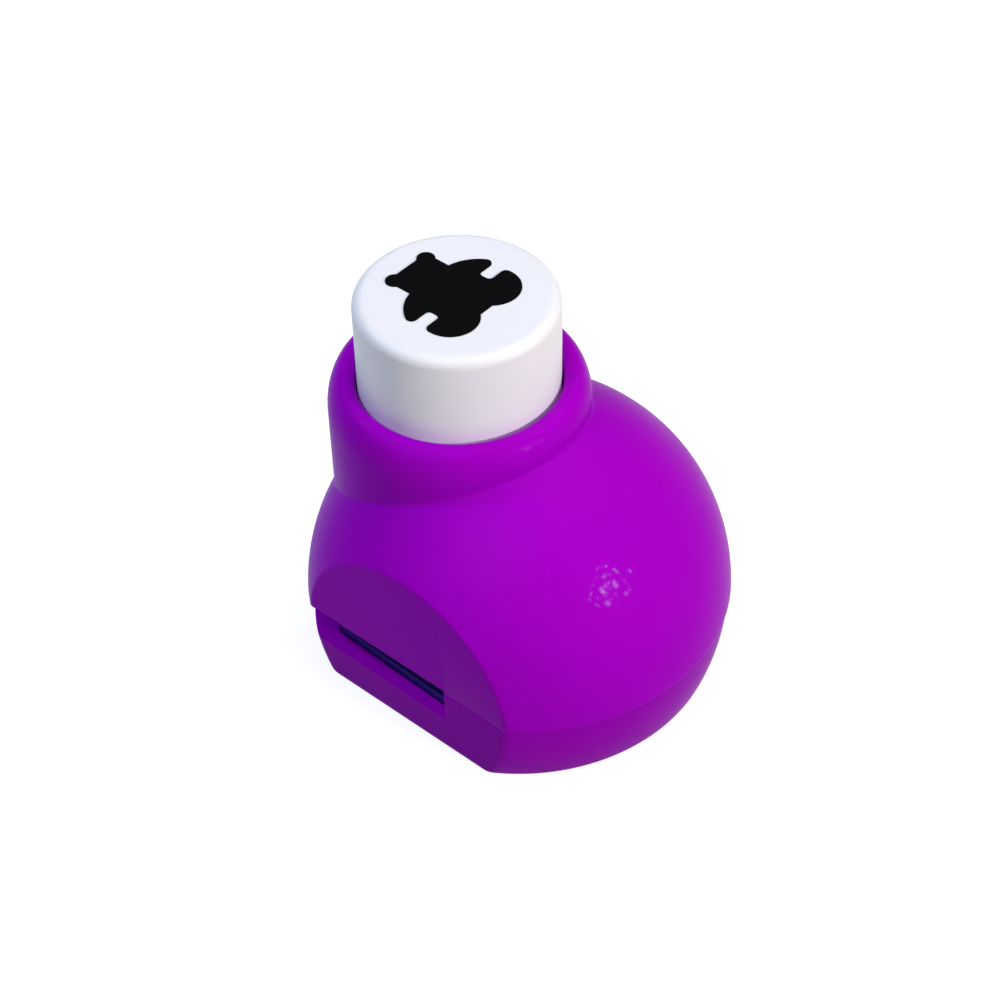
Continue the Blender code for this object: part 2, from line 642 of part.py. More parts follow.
def locating_lip():
    """The thin wall behind the throat that stands up inside the shell and centres it on the base."""
    top = SPLIT_HEIGHT + LIP_HEIGHT
    radius = sqrt(INNER_RADIUS ** 2 - (top - BALL_HEIGHT) ** 2) - GAP
    half_width = INNER_HALF_WIDTH - GAP
    low = SPLIT_HEIGHT - LIP_WALL
    lip = prism("lip", rounded_slab(radius, half_width, BASE_CORNER), low, top)
    inside = rounded_slab(radius - LIP_WALL, half_width - LIP_WALL, BASE_CORNER - LIP_WALL)
    cut(lip, prism("lip_inside", inside, low - OVERRUN, top + OVERRUN))
    far = 2 * BALL_RADIUS
    cut(lip, box("front", (-far, LIP_START_X), (-far, far), (-far, far)))
    for place in SCREW_PLACES:
        cut(lip, cylinder("boss_room", place, BOSS_RADIUS + GAP, SPLIT_HEIGHT, far))
    return lip


# Die set

def guide_plate(material):
    radius = sqrt(INNER_RADIUS ** 2 - (GUIDE_TOP_Z - BALL_HEIGHT) ** 2) - GAP
    outline = rounded_slab(radius, INNER_HALF_WIDTH - GAP, BASE_CORNER)
    plate = prism("guide_plate", outline, SPLIT_HEIGHT, GUIDE_TOP_Z, material)
    far = 2 * BALL_RADIUS
    corners = box("behind", (THROAT_END_X - GAP, far), (-far, far), (0, BALL_RADIUS))
    tail = (THROAT_END_X - 2 * GAP, TAIL_END_X)
    width = (-TAIL_HALF_WIDTH, TAIL_HALF_WIDTH)
    cut(corners, box("tail", tail, width, (-far, far)))
    cut(plate, corners)
    return finished(with_bear_and_rivet_holes(plate, SPLIT_HEIGHT, GUIDE_TOP_Z))


def die_plate(material):
    plate = prism("die_plate", die_outline(), DIE_LOW_Z, DIE_TOP_Z, material)
    return finished(with_bear_and_rivet_holes(plate, DIE_LOW_Z, DIE_TOP_Z))


def with_bear_and_rivet_holes(plate, low, high):
    hole = moved(grown(bear_outline(), CUT_CLEARANCE), BUTTON_AXIS_X)
    cut(plate, prism("bear_hole", hole, low - OVERRUN, high + OVERRUN))
    return with_rivet_holes(plate, low, high)


def with_rivet_holes(plate, low, high):
    for side in (1, -1):
        place = (RIVET_X, side * RIVET_Y)
        cut(plate, cylinder("rivet_hole", place, RIVET_RADIUS + GAP, low - OVERRUN, high + OVERRUN))
    return plate


def throat_spacer(material):
    width = (-TAIL_HALF_WIDTH, TAIL_HALF_WIDTH)
    spacer = box("throat_spacer", (THROAT_END_X, TAIL_END_X), width, (DIE_TOP_Z, SPLIT_HEIGHT))
    spacer.data.materials.append(material)
    return finished(with_rivet_holes(spacer, DIE_TOP_Z, SPLIT_HEIGHT))


def die_rivet(name, side, material):
    """A rivet with a domed head on the guide plate and one under the die plate."""
    flat = RIVET_HEAD_RADIUS / 2
    profile = [(0, GUIDE_TOP_Z + RIVET_HEAD), (flat, GUIDE_TOP_Z + RIVET_HEAD)]
    profile += [(RIVET_HEAD_RADIUS, GUIDE_TOP_Z + RIVET_HEAD / 3), (RIVET_HEAD_RADIUS, GUIDE_TOP_Z)]
    profile += [(RIVET_RADIUS, GUIDE_TOP_Z), (RIVET_RADIUS, DIE_LOW_Z)]
    profile += [(RIVET_HEAD_RADIUS, DIE_LOW_Z), (RIVET_HEAD_RADIUS, DIE_LOW_Z - RIVET_HEAD / 3)]
    profile += [(flat, DIE_LOW_Z - RIVET_HEAD), (0, DIE_LOW_Z - RIVET_HEAD)]
    return finished(turned(name, profile, (RIVET_X, side * RIVET_Y), material, TURN_STEPS // 2))


def cover_screw(name, place, material):
    """A pan-head screw with a cross recess, driven up from below into the shell's boss."""
    low = SCREW_SEAT - SCREW_HEAD
    tip = SCREW_SEAT + SCREW_LENGTH
    profile = [(0, tip), (SCREW_RADIUS / 2, tip), (SCREW_RADIUS, tip - SCREW_RADIUS)]
    profile += [(SCREW_RADIUS, SCREW_SEAT), (SCREW_HEAD_RADIUS, SCREW_SEAT)]
    profile += [(SCREW_HEAD_RADIUS, low + SCREW_HEAD / 2)]
    profile += [(SCREW_HEAD_RADIUS * 3 / 4, low), (0, low)]
    screw = turned(name, profile, place, material, TURN_STEPS // 2)
    x, y = place
    half = SCREW_SLOT / 2
    arm = SCREW_HEAD_RADIUS / 2
    depth = (low - OVERRUN, low + SCREW_RECESS)
    cut(screw, box("slot", (x - arm, x + arm), (y - half, y + half), depth))
    cut(screw, box("slot", (x - half, x + half), (y - arm, y + arm), depth))
    return finished(screw)


# Plunger: all of it is built about its own axis and then moved to it

def press_button(material):
    inside = BUTTON_RADIUS - BUTTON_WALL
    low = FLANGE_LOW_Z - BUTTON_SKIRT
    edge = (BUTTON_RADIUS - BUTTON_EDGE_ROUND, BUTTON_TOP_Z - BUTTON_EDGE_ROUND)
    profile = [(0, BUTTON_TOP_Z)] + arc(edge, BUTTON_EDGE_ROUND, 90, 0, ROUND_STEPS + 1)
    profile += [(BUTTON_RADIUS, FLANGE_TOP_Z), (FLANGE_RADIUS, FLANGE_TOP_Z), (FLANGE_RADIUS, FLANGE_LOW_Z)]
    profile += [(BUTTON_RADIUS, FLANGE_LOW_Z), (BUTTON_RADIUS, low)]
    profile += [(inside, low), (inside, CEILING_Z), (0, CEILING_Z)]
    button = turned("press_button", profile, material=material)
    half = BUTTON_RIB / 2
    reach = inside + BUTTON_WALL / 2
    height = (HEAD_TOP_Z, CEILING_Z + BUTTON_TOP_WALL / 2)
    ribs = box("ribs", (-reach, reach), (-half, half), height)
    join(ribs, box("cross", (-half, half), (-reach, reach), height))
    join(button, ribs)
    notch = KEY_WIDTH / 2 + GAP
    depth = KEY_RADIUS - GAP
    end = FLANGE_RADIUS + OVERRUN
    for side in (1, -1):
        reach = sorted((side * depth, side * end))
        cut(button, box("notch", (-notch, notch), reach, (FLANGE_LOW_Z - GAP, FLANGE_TOP_Z + GAP)))
    return finished(button, BUTTON_AXIS_X)


def button_print(material):
    film = prism("button_print", bear_outline(), BUTTON_TOP_Z, BUTTON_TOP_Z + FILM, material)
    return finished(film, BUTTON_AXIS_X)


def punch(material):
    """The bear-shaped column with its round head. Its cutting face is ground a little hollow."""
    middle = (HEAD_LOW_Z + HEAD_TOP_Z) / 2
    chamfer = PUNCH_HEAD_CHAMFER
    profile = [(0, HEAD_TOP_Z), (HEAD_RADIUS - chamfer, HEAD_TOP_Z), (HEAD_RADIUS, HEAD_TOP_Z - chamfer)]
    profile += [(HEAD_RADIUS, HEAD_LOW_Z), (0, HEAD_LOW_Z)]
    body = turned("punch", profile, material=material)
    join(body, prism("column", bear_outline(), PUNCH_TIP_Z, middle))
    start = HEAD_TOP_X - EAR_RADIUS
    end = LEG_X + LEG_RADIUS
    centre_x = (start + end) / 2
    half = (end - start) / 2
    bow = []
    for step in range(GRIND_STEPS + 1):
        share = 2 * step / GRIND_STEPS - 1
        bow.append((centre_x + half * share, PUNCH_TIP_Z + PUNCH_HOLLOW * (1 - share * share)))
    bow += [(end, PUNCH_TIP_Z - OVERRUN), (start, PUNCH_TIP_Z - OVERRUN)]
    width = BUTTON_RADIUS
    grind = lofted("grind", [[(x, y, z) for x, z in bow] for y in (-width, width)])
    return finished(cut(body, grind), BUTTON_AXIS_X)


def return_spring(material):
    """One wire wound from the guide plate up to the punch's head."""
    low = GUIDE_TOP_Z + GAP + WIRE_RADIUS
    high = HEAD_LOW_Z - GAP - WIRE_RADIUS
    count = SPRING_TURNS * COIL_STEPS
    points = []
    for step in range(count + 1):
        angle = 2 * pi * step / COIL_STEPS
        rise = low + (high - low) * step / count
        points.append(Vector((SPRING_RADIUS * cos(angle), SPRING_RADIUS * sin(angle), rise)))
    curve = bpy.data.curves.new("return_spring", 'CURVE')
    curve.dimensions = '3D'
    curve.bevel_depth = WIRE_RADIUS
    curve.bevel_resolution = 1
    curve.use_fill_caps = True
    curve.materials.append(material)
    spline = curve.splines.new('POLY')
    spline.points.add(count)
    for place, point in zip(spline.points, points):
        place.co = (*point, 1)
    spring = bpy.data.objects.new("return_spring", curve)
    bpy.context.scene.collection.objects.link(spring)
    spring.location.x = BUTTON_AXIS_X
    apart = COIL_STEPS // 2
    gaps = []
    for index, point in enumerate(points):
        gaps += [(point - other).length for other in points[index + apart:]]
    print("least gap of the spring's wire to itself, mm:", round((min(gaps) - 2 * WIRE_RADIUS) * 1000, 2))
    return spring


def main():
    for old in list(bpy.data.objects):
        bpy.data.objects.remove(old)
    purple = plastic("purple_moulding", (0.33, 0.0, 0.53), 0.35)
    purple_base = plastic("purple_base_moulding", (0.33, 0.0, 0.53), 0.38)
    white = plastic("white_moulding", (0.86, 0.86, 0.88), 0.35)
    black = plastic("black_print", (0.01, 0.01, 0.012), 0.5)
    plate_steel = plastic("ground_steel", (0.55, 0.56, 0.58), 0.3, 1.0)
    die_steel = plastic("blackened_steel", (0.03, 0.035, 0.06), 0.45, 1.0)
    spacer_steel = plastic("spacer_steel", (0.45, 0.46, 0.48), 0.4, 1.0)
    zinc = plastic("die_cast_zinc", (0.6, 0.6, 0.62), 0.4, 1.0)
    spring_steel = plastic("spring_wire", (0.5, 0.5, 0.52), 0.25, 1.0)
    plated = plastic("plated_fastener", (0.7, 0.7, 0.72), 0.3, 1.0)
    upper_shell(purple)
    base_cover(purple_base)
    guide_plate(plate_steel)
    die_plate(die_steel)
    throat_spacer(spacer_steel)
    for number, side in enumerate((1, -1), start=1):
        die_rivet(f"die_rivet_{number}", side, plated)
    for number, place in enumerate(SCREW_PLACES, start=1):
        cover_screw(f"cover_screw_{number}", place, plated)
    punch(zinc)
    press_button(white)
    button_print(black)
    return_spring(spring_steel)
    for piece in bpy.data.objects:
        print(piece.name, len(piece.data.polygons) if piece.type == 'MESH' else "curve")


main()
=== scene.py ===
# %% [markdown]
# # A ball-shaped craft punch
# This object is a small hand punch. Paper slides into the throat round its nose, the thumb presses the
# white button, and a steel punch cuts a little bear out of the paper. Two violet mouldings make the ball,
# and the mechanism sits inside them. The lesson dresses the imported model: it never moves a part, it only
# gives each one the surface of the real thing.

from math import atan2, cos, degrees, pi, radians, sin, sqrt

import bmesh
import bpy
from mathutils import Matrix, Vector


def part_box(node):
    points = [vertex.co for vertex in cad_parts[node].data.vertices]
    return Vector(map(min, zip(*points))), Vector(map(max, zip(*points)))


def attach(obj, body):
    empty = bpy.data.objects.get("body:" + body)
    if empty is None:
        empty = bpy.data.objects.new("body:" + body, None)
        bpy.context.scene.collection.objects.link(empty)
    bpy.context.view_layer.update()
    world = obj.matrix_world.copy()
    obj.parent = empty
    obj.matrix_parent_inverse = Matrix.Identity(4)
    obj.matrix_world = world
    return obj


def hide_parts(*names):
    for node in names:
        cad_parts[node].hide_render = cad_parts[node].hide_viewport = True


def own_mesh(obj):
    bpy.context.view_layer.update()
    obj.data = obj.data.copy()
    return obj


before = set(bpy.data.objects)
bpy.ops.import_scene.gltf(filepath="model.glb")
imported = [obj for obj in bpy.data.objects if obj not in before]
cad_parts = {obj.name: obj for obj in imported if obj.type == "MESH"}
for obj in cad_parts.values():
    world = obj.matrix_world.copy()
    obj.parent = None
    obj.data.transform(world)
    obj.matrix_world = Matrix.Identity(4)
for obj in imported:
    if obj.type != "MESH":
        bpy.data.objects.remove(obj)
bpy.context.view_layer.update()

# %% [markdown]
# ## Sizes
# Every length is written in millimetres times MM, so the numbers read like the ones on a workshop drawing.
# The main ones come from the frame where it can give them: the split between the mouldings, the button's
# top and the throat's plates. The others are estimates, made from the proportions in the photograph and
# from what such a punch usually measures.

# %% Sizes of the mouldings
MM = 0.001
BALL_RADIUS = 20.0 * MM
BALL_HEIGHT = 6.7 * MM
FLAT_HALF_WIDTH = 16.0 * MM
FLAT_EDGE_ROUND = 0.7 * MM
SHELL_WALL = 1.6 * MM
AXIS_X = -6.8 * MM
BUTTON_RADIUS = 9.2 * MM
COLLAR_RADIUS = 12.0 * MM
COLLAR_FILLET = 0.35 * MM
SHOULDER_DEPTH = 5.4 * MM
FLANGE_RADIUS = 10.4 * MM
TUBE_RADIUS = 10.8 * MM
GAP = 0.3 * MM
BORE_RADIUS = BUTTON_RADIUS + GAP / 2
OVERRUN = 1.0 * MM
SPLIT_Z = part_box("upper_shell")[0].z
COLLAR_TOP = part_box("upper_shell")[1].z
BUTTON_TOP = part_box("press_button")[1].z
BUTTON_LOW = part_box("press_button")[0].z
DIE_LOW, DIE_TOP = (corner.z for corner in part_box("die_plate"))
GUIDE_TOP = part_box("guide_plate")[1].z
HEAD_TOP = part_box("punch")[1].z
heights = {"split": SPLIT_Z, "collar": COLLAR_TOP, "button": BUTTON_TOP}
print("heights, mm:", {name: round(z / MM, 2) for name, z in heights.items()})

# %% [markdown]
# ## The camera
# The photograph was taken from above the front of the punch, with the nose turned to the left. The ball's
# round outline, the straight lower edge of the side flat and the ellipses of collar and button fix the
# view: an azimuth of 41 degrees, 44 degrees above the table, from about 21 cm away. A camera is easiest to
# set from three directions, right, up and back, and the place where the ball's centre falls in the picture.

# %% Camera
PICTURE = 1000
FOCAL = 2200
BALL_PIXEL = (519.4, 577.5)
VIEW_AZIMUTH = radians(41.265)
VIEW_ELEVATION = radians(43.886)
VIEW_ROLL = radians(-1.146)
VIEW_DISTANCE = 10.445 * BALL_RADIUS
level_right = Vector((cos(VIEW_AZIMUTH), sin(VIEW_AZIMUTH), 0))
view_back = Vector((sin(VIEW_AZIMUTH) * cos(VIEW_ELEVATION), -cos(VIEW_AZIMUTH) * cos(VIEW_ELEVATION),
                    sin(VIEW_ELEVATION)))
level_up = view_back.cross(level_right)
view_right = level_right * cos(VIEW_ROLL) + level_up * sin(VIEW_ROLL)
view_up = level_up * cos(VIEW_ROLL) - level_right * sin(VIEW_ROLL)
ball_centre = Vector((0, 0, BALL_HEIGHT))
aside = (BALL_PIXEL[0] - PICTURE / 2) / FOCAL * VIEW_DISTANCE
below = (BALL_PIXEL[1] - PICTURE / 2) / FOCAL * VIEW_DISTANCE
eye = ball_centre + view_back * VIEW_DISTANCE - view_right * aside + view_up * below
camera = bpy.data.objects.new("camera", bpy.data.cameras.new("camera"))
bpy.context.scene.collection.objects.link(camera)
camera.matrix_world = Matrix.Translation(eye) @ Matrix((view_right, view_up, view_back)).transposed().to_4x4()
camera.data.sensor_width = 36
camera.data.lens = camera.data.sensor_width * FOCAL / PICTURE
camera.data.clip_start = 10 * MM
bpy.context.scene.camera = camera
print("camera at, mm:", [round(value / MM, 1) for value in eye], "lens", round(camera.data.lens, 1))

# %% [markdown]
# ## Small tools for meshes
# Moulded parts are mostly rings of points joined by faces, so one function skins a stack of rings and
# closes its ends. Booleans then cut the hollows, as the mould's cores do. The exact solver keeps such cuts
# watertight.

# %% Mesh tools
MERGE = 0.0005 * MM
SHARP_ANGLE = 32


def arc(centre, radius, start, end, steps):
    """Points on an arc in the plane, from one angle in degrees to another, both ends included."""
    turns = [radians(start + (end - start) * step / steps) for step in range(steps + 1)]
    return [(centre[0] + radius * cos(turn), centre[1] + radius * sin(turn)) for turn in turns]


def object_from(name, bm):
    """A new object from a bmesh, its stray points merged and its faces turned outwards."""
    bmesh.ops.remove_doubles(bm, verts=bm.verts, dist=MERGE)
    bmesh.ops.recalc_face_normals(bm, faces=bm.faces)
    mesh = bpy.data.meshes.new(name)
    bm.to_mesh(mesh)
    bm.free()
    made = bpy.data.objects.new(name, mesh)
    bpy.context.scene.collection.objects.link(made)
    return made


def stacked(name, outlines):
    """A closed solid through a stack of outlines, each a list of points with the same count."""
    bm = bmesh.new()
    rings = [[bm.verts.new(point) for point in outline] for outline in outlines]
    for lower, upper in zip(rings, rings[1:]):
        for index in range(len(lower)):
            after = (index + 1) % len(lower)
            bm.faces.new((lower[index], lower[after], upper[after], upper[index]))
    bm.faces.new(rings[0])
    bm.faces.new(rings[-1])
    return object_from(name, bm)


def prism(name, outline, low, high):
    return stacked(name, [[(x, y, z) for x, y in outline] for z in (low, high)])


def block(name, x, y, z):
    return prism(name, [(x[0], y[0]), (x[1], y[0]), (x[1], y[1]), (x[0], y[1])], *z)


def rod(name, place, radius, low, high, steps=48):
    return prism(name, arc(place, radius, 0, 360, steps)[:-1], low, high)


def turned(name, profile, place, steps=144):
    """A solid of revolution about a vertical line: the profile runs from the axis back to the axis."""
    bm = bmesh.new()
    poles = [bm.verts.new((*place, z)) for z in (profile[0][1], profile[-1][1])]
    rings = []
    for r, z in profile[1:-1]:
        rings.append([bm.verts.new((x, y, z)) for x, y in arc(place, r, 0, 360, steps)[:-1]])
    for lower, upper in zip(rings, rings[1:]):
        for index in range(steps):
            after = (index + 1) % steps
            bm.faces.new((lower[index], lower[after], upper[after], upper[index]))
    for pole, ring in zip(poles, (rings[0], rings[-1])):
        for index in range(steps):
            bm.faces.new((pole, ring[index], ring[(index + 1) % steps]))
    return object_from(name, bm)


def boolean(target, others, operation):
    """Cuts others out of the target, or joins them to it; the others are used up."""
    for other in others:
        modifier = target.modifiers.new("boolean", 'BOOLEAN')
        modifier.operation = operation
        modifier.solver = 'EXACT'
        modifier.object = other
        solved = target.evaluated_get(bpy.context.evaluated_depsgraph_get())
        mesh = bpy.data.meshes.new_from_object(solved)
        target.modifiers.clear()
        target.data = mesh
        bpy.data.objects.remove(other)
    return target


def smooth(piece, angle=SHARP_ANGLE):
    """Shades a piece smooth, with sharp edges where its faces meet at more than the angle."""
    piece.data.shade_smooth()
    piece.data.set_sharp_from_angle(angle=radians(angle))
    return piece


def dress(piece, material, body, nodes=()):
    """Gives a piece its material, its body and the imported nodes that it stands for."""
    piece.data.materials.clear()
    piece.data.materials.append(material)
    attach(piece, body)
    if nodes:
        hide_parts(*nodes)
    print(piece.name, "faces:", len(piece.data.polygons))
    return piece

# %% [markdown]
# ## Colour and nodes
# Hex colours are written for a screen, in sRGB, while Blender's sockets want linear light. One function
# turns them. A second small function adds a node with its settings and links, and every material below is
# made with it.

# %% Colour and node helpers
def linear(code):
    """An sRGB hex colour as linear red, green, blue and alpha."""
    values = [int(code[start:start + 2], 16) / 255 for start in (1, 3, 5)]
    return (*[v / 12.92 if v <= 0.04045 else ((v + 0.055) / 1.055) ** 2.4 for v in values], 1)


def add(tree, kind, sockets=None, **settings):
    """Adds a node. Settings are its properties; sockets are values, or outputs of other nodes to link."""
    made = tree.nodes.new(kind)
    for name, value in settings.items():
        setattr(made, name, value)
    for name, value in (sockets or {}).items():
        if isinstance(value, bpy.types.NodeSocket):
            tree.links.new(value, made.inputs[name])
        else:
            made.inputs[name].default_value = value
    return made


def new_material(name):
    """A material with a Principled shader: itself, its tree, the shader and object coordinates."""
    material = bpy.data.materials.new(name)
    material.use_nodes = True
    tree = material.node_tree
    tree.nodes.clear()
    shader = add(tree, "ShaderNodeBsdfPrincipled")
    output = add(tree, "ShaderNodeOutputMaterial")
    tree.links.new(shader.outputs["BSDF"], output.inputs["Surface"])
    place = add(tree, "ShaderNodeTexCoord").outputs["Object"]
    return material, tree, shader, place

# %% [markdown]
# ## Moulded plastic
# The two halves of the ball look like ABS, dyed through and pressed in a spark-eroded steel mould. Erosion
# leaves tiny craters in the steel, so the plastic comes out satin and its highlight breaks into sparks.
# Real craters are a few hundredths of a millimetre wide, too fine for this picture. So the grain that makes
# the satin is drawn 0.16 mm wide, and the craters in the glossy skin, which make the sparks, are drawn 0.65
# mm wide. A third, larger noise varies the roughness as handling does, and tints the dye a little, because
# pigment flows unevenly into the mould.

# %% Violet and white ABS
GRAIN = 0.16 * MM
CRATER = 0.65 * MM
HANDLING = 7.0 * MM
VIOLET_GLOSS = "#C850F0"
SHELL_GRAIN_HEIGHT = 0.012 * MM
CAP_GRAIN_HEIGHT = 0.006 * MM


def moulded_abs(name, colour, shade, gloss, roughness, specular, grain_height):
    """ABS plastic from an eroded mould, in one colour with a slightly different shade mixed in."""
    material, tree, shader, place = new_material(name)
    grain = add(tree, "ShaderNodeTexNoise",
                {"Vector": place, "Scale": 1 / GRAIN, "Detail": 3.0, "Roughness": 0.6})
    handling = add(tree, "ShaderNodeTexNoise", {"Vector": place, "Scale": 1 / HANDLING, "Detail": 4.0})
    tint = add(tree, "ShaderNodeMix", {"Factor": handling.outputs["Fac"]}, data_type='RGBA')
    tint.inputs[6].default_value = linear(colour)
    tint.inputs[7].default_value = linear(shade)
    spread = add(tree, "ShaderNodeMapRange",
                 {"Value": handling.outputs["Fac"], "From Min": 0.3, "From Max": 0.7})
    spread.inputs["To Min"].default_value = roughness - 0.03
    spread.inputs["To Max"].default_value = roughness + 0.04
    bump = add(tree, "ShaderNodeBump", {"Height": grain.outputs["Fac"], "Strength": 0.35})
    bump.inputs["Distance"].default_value = grain_height
    tree.links.new(tint.outputs[2], shader.inputs["Base Color"])
    tree.links.new(spread.outputs["Result"], shader.inputs["Roughness"])
    tree.links.new(bump.outputs["Normal"], shader.inputs["Normal"])
    shader.inputs["IOR"].default_value = 1.53
    shader.inputs["Specular IOR Level"].default_value = specular
    shader.inputs["Specular Tint"].default_value = linear(gloss)
    craters = add(tree, "ShaderNodeTexNoise", {"Vector": place, "Scale": 1 / CRATER, "Detail": 0.0})
    sparks = add(tree, "ShaderNodeBump", {"Height": craters.outputs["Fac"], "Strength": 1.0})
    sparks.inputs["Distance"].default_value = CRATER / 7
    tree.links.new(sparks.outputs["Normal"], shader.inputs["Coat Normal"])
    shader.inputs["Coat Weight"].default_value = 0.02
    shader.inputs["Coat Roughness"].default_value = 0.06
    return material


violet_abs = moulded_abs("violet_abs_moulded", "#A700C5", "#9F00C1", VIOLET_GLOSS, 0.34, 0.01,
                         SHELL_GRAIN_HEIGHT)
violet_base_abs = moulded_abs("violet_abs_moulded_base", "#A000BB", "#9800B7", VIOLET_GLOSS, 0.36, 0.01,
                              SHELL_GRAIN_HEIGHT)
white_abs = moulded_abs("white_abs_moulded", "#F6F4F7", "#F1EFF3", "#FFFFFF", 0.42, 0.20,
                        CAP_GRAIN_HEIGHT)
print("plastics:", violet_abs.name, violet_base_abs.name, white_abs.name)

# %% [markdown]
# ## Ink
# The bear on the button is pad printed: a soft silicone pad presses a film of black ink on the top. The
# film is matte against the satin plastic, and its thickness varies a little, so it is not quite an even
# black.

# %% Black pad-printing ink
FILM_MOTTLE = 0.4 * MM


def printing_ink():
    material, tree, shader, place = new_material("black_pad_print_ink")
    film = add(tree, "ShaderNodeTexNoise", {"Vector": place, "Scale": 1 / FILM_MOTTLE, "Detail": 4.0})
    ramp = add(tree, "ShaderNodeValToRGB", {"Fac": film.outputs["Fac"]})
    ramp.color_ramp.elements[0].color = linear("#020203")
    ramp.color_ramp.elements[1].color = linear("#060607")
    tree.links.new(ramp.outputs["Color"], shader.inputs["Base Color"])
    shader.inputs["Roughness"].default_value = 0.65
    shader.inputs["Specular IOR Level"].default_value = 0.02
    return material


black_ink = printing_ink()
print("ink:", black_ink.name)

# %% [markdown]
# ## Metals
# The plates are punched from steel sheet and ground flat, which leaves fine parallel lines. The die plate
# is blackened in hot salts against rust. This dark plate is what shows in the throat, and there it looks
# blue from the bluish light it reflects, so its colour is painted a deep blue, a painted reflection on the
# blackened steel, and it is only partly metallic. The punch is cast from a zinc alloy, which comes grainy
# from its mould. Rivets and screws are zinc plated, and the spring is drawn wire. One function serves them
# all: its scratches are noise stretched along one direction.

# %% Steel, zinc and plating
def worked_metal(name, colour, shade, roughness, width, stretch, height, metallic=1.0):
    """A metal with a worked surface: marks of one width, stretched along X by a factor."""
    material, tree, shader, place = new_material(name)
    mapping = add(tree, "ShaderNodeMapping", {"Vector": place, "Scale": (1 / stretch, 1, 1)})
    marks = add(tree, "ShaderNodeTexNoise",
                {"Vector": mapping.outputs["Vector"], "Scale": 1 / width, "Detail": 3.0})
    ramp = add(tree, "ShaderNodeValToRGB", {"Fac": marks.outputs["Fac"]})
    ramp.color_ramp.elements[0].color = linear(shade)
    ramp.color_ramp.elements[1].color = linear(colour)
    spread = add(tree, "ShaderNodeMapRange", {"Value": marks.outputs["Fac"]})
    spread.inputs["To Min"].default_value = roughness - 0.08
    spread.inputs["To Max"].default_value = roughness + 0.08
    bump = add(tree, "ShaderNodeBump", {"Height": marks.outputs["Fac"], "Strength": 0.4})
    bump.inputs["Distance"].default_value = height
    tree.links.new(ramp.outputs["Color"], shader.inputs["Base Color"])
    tree.links.new(spread.outputs["Result"], shader.inputs["Roughness"])
    tree.links.new(bump.outputs["Normal"], shader.inputs["Normal"])
    shader.inputs["Metallic"].default_value = metallic
    return material


ground_steel = worked_metal("ground_steel_sheet", "#C9CBCE", "#A7AAAE", 0.30, 0.12 * MM, 30, 0.004 * MM)
# The die plate's deep blue is a painted reflection: the bluish light it reflects in the throat is put into
# its colour.
die_steel_painted_blue = worked_metal("steel_sheet_blackened_painted_blue", "#24108C", "#150A60", 0.42, 0.15 * MM, 20,
                               0.004 * MM, metallic=0.3)
spacer_steel = worked_metal("cut_steel_bar", "#B9BBBE", "#94979B", 0.38, 0.2 * MM, 12, 0.006 * MM)
cast_zinc = worked_metal("cast_zinc_alloy", "#B4B6BA", "#9C9EA3", 0.42, 0.2 * MM, 1, 0.010 * MM)
plated_steel = worked_metal("zinc_plated_steel", "#D3D4D6", "#B9BBBF", 0.26, 0.3 * MM, 1, 0.002 * MM)
spring_wire = worked_metal("drawn_spring_wire", "#B6B8BC", "#8E9196", 0.24, 0.08 * MM, 6, 0.002 * MM)
worked = (ground_steel, die_steel_painted_blue, spacer_steel, cast_zinc, plated_steel, spring_wire)
print("metals:", [metal.name for metal in worked])

# %% [markdown]
# ## The form of the ball
# The ball is a sphere with a flat on each side. Seen along Y it is round everywhere, so each distance y
# from the middle has one radius, and the soft edge of the flat is an arc between sphere and flat. This
# radius is all that is needed to find the height of the skin over any point of the plan.

# %% Radius and height of the ball's skin
RING_Y = FLAT_HALF_WIDTH - FLAT_EDGE_ROUND
RING_RADIUS = sqrt((BALL_RADIUS - FLAT_EDGE_ROUND) ** 2 - RING_Y ** 2)
SOFT_Y = RING_Y * BALL_RADIUS / (BALL_RADIUS - FLAT_EDGE_ROUND)
SPLIT_RISE = SPLIT_Z - BALL_HEIGHT


def slice_radius(y):
    """Radius of the ball's round slice at a distance y from its middle."""
    if abs(y) <= SOFT_Y:
        return sqrt(BALL_RADIUS ** 2 - y * y)
    return RING_RADIUS + sqrt(max(FLAT_EDGE_ROUND ** 2 - (abs(y) - RING_Y) ** 2, 0))


def skin_height(x, y):
    return BALL_HEIGHT + sqrt(max(slice_radius(y) ** 2 - x * x, 0))


def outline_normal(x, y):
    """Direction square to the shell's outline at the split, pointing outwards."""
    if abs(y) >= FLAT_HALF_WIDTH - 0.001 * MM:
        return Vector((0, 1 if y > 0 else -1, 0))
    if abs(y) <= SOFT_Y:
        return Vector((x, y, 0)).normalized()
    rise = abs(y) - RING_Y
    slope = rise / sqrt(FLAT_EDGE_ROUND ** 2 - rise ** 2)
    return Vector((x, slice_radius(y) * slope * (1 if y > 0 else -1), 0)).normalized()


print("flat's radius, mm:", round(RING_RADIUS / MM, 2), "soft edge starts at y", round(SOFT_Y / MM, 2))

# %% [markdown]
# ## The upper shell
# The collar stands towards the nose, so the cleanest mesh is a fan round the collar's axis: every section
# runs from the bore over the rounded rim, down the collar, through the fillet and over the ball to the
# split. The rim is not an even half round: its inner edge is tight, and its outer side is a quarter of a
# tall ellipse. The fillet is the path of a small ball that rolls in the corner. Sections pass exactly
# through the corners of the side flats, so their edges stay crisp. Subdivision surfaces could do this too,
# but they would pull the flats out of shape.

# %% Sections of the upper shell
RIM_INSIDE = 1.05 * MM
RIM_OUTSIDE = COLLAR_RADIUS - BORE_RADIUS - RIM_INSIDE
RIM_FALL = 3.6 * MM
LIP_ROUND = 0.12 * MM
BORE_DEPTH = 6.5 * MM


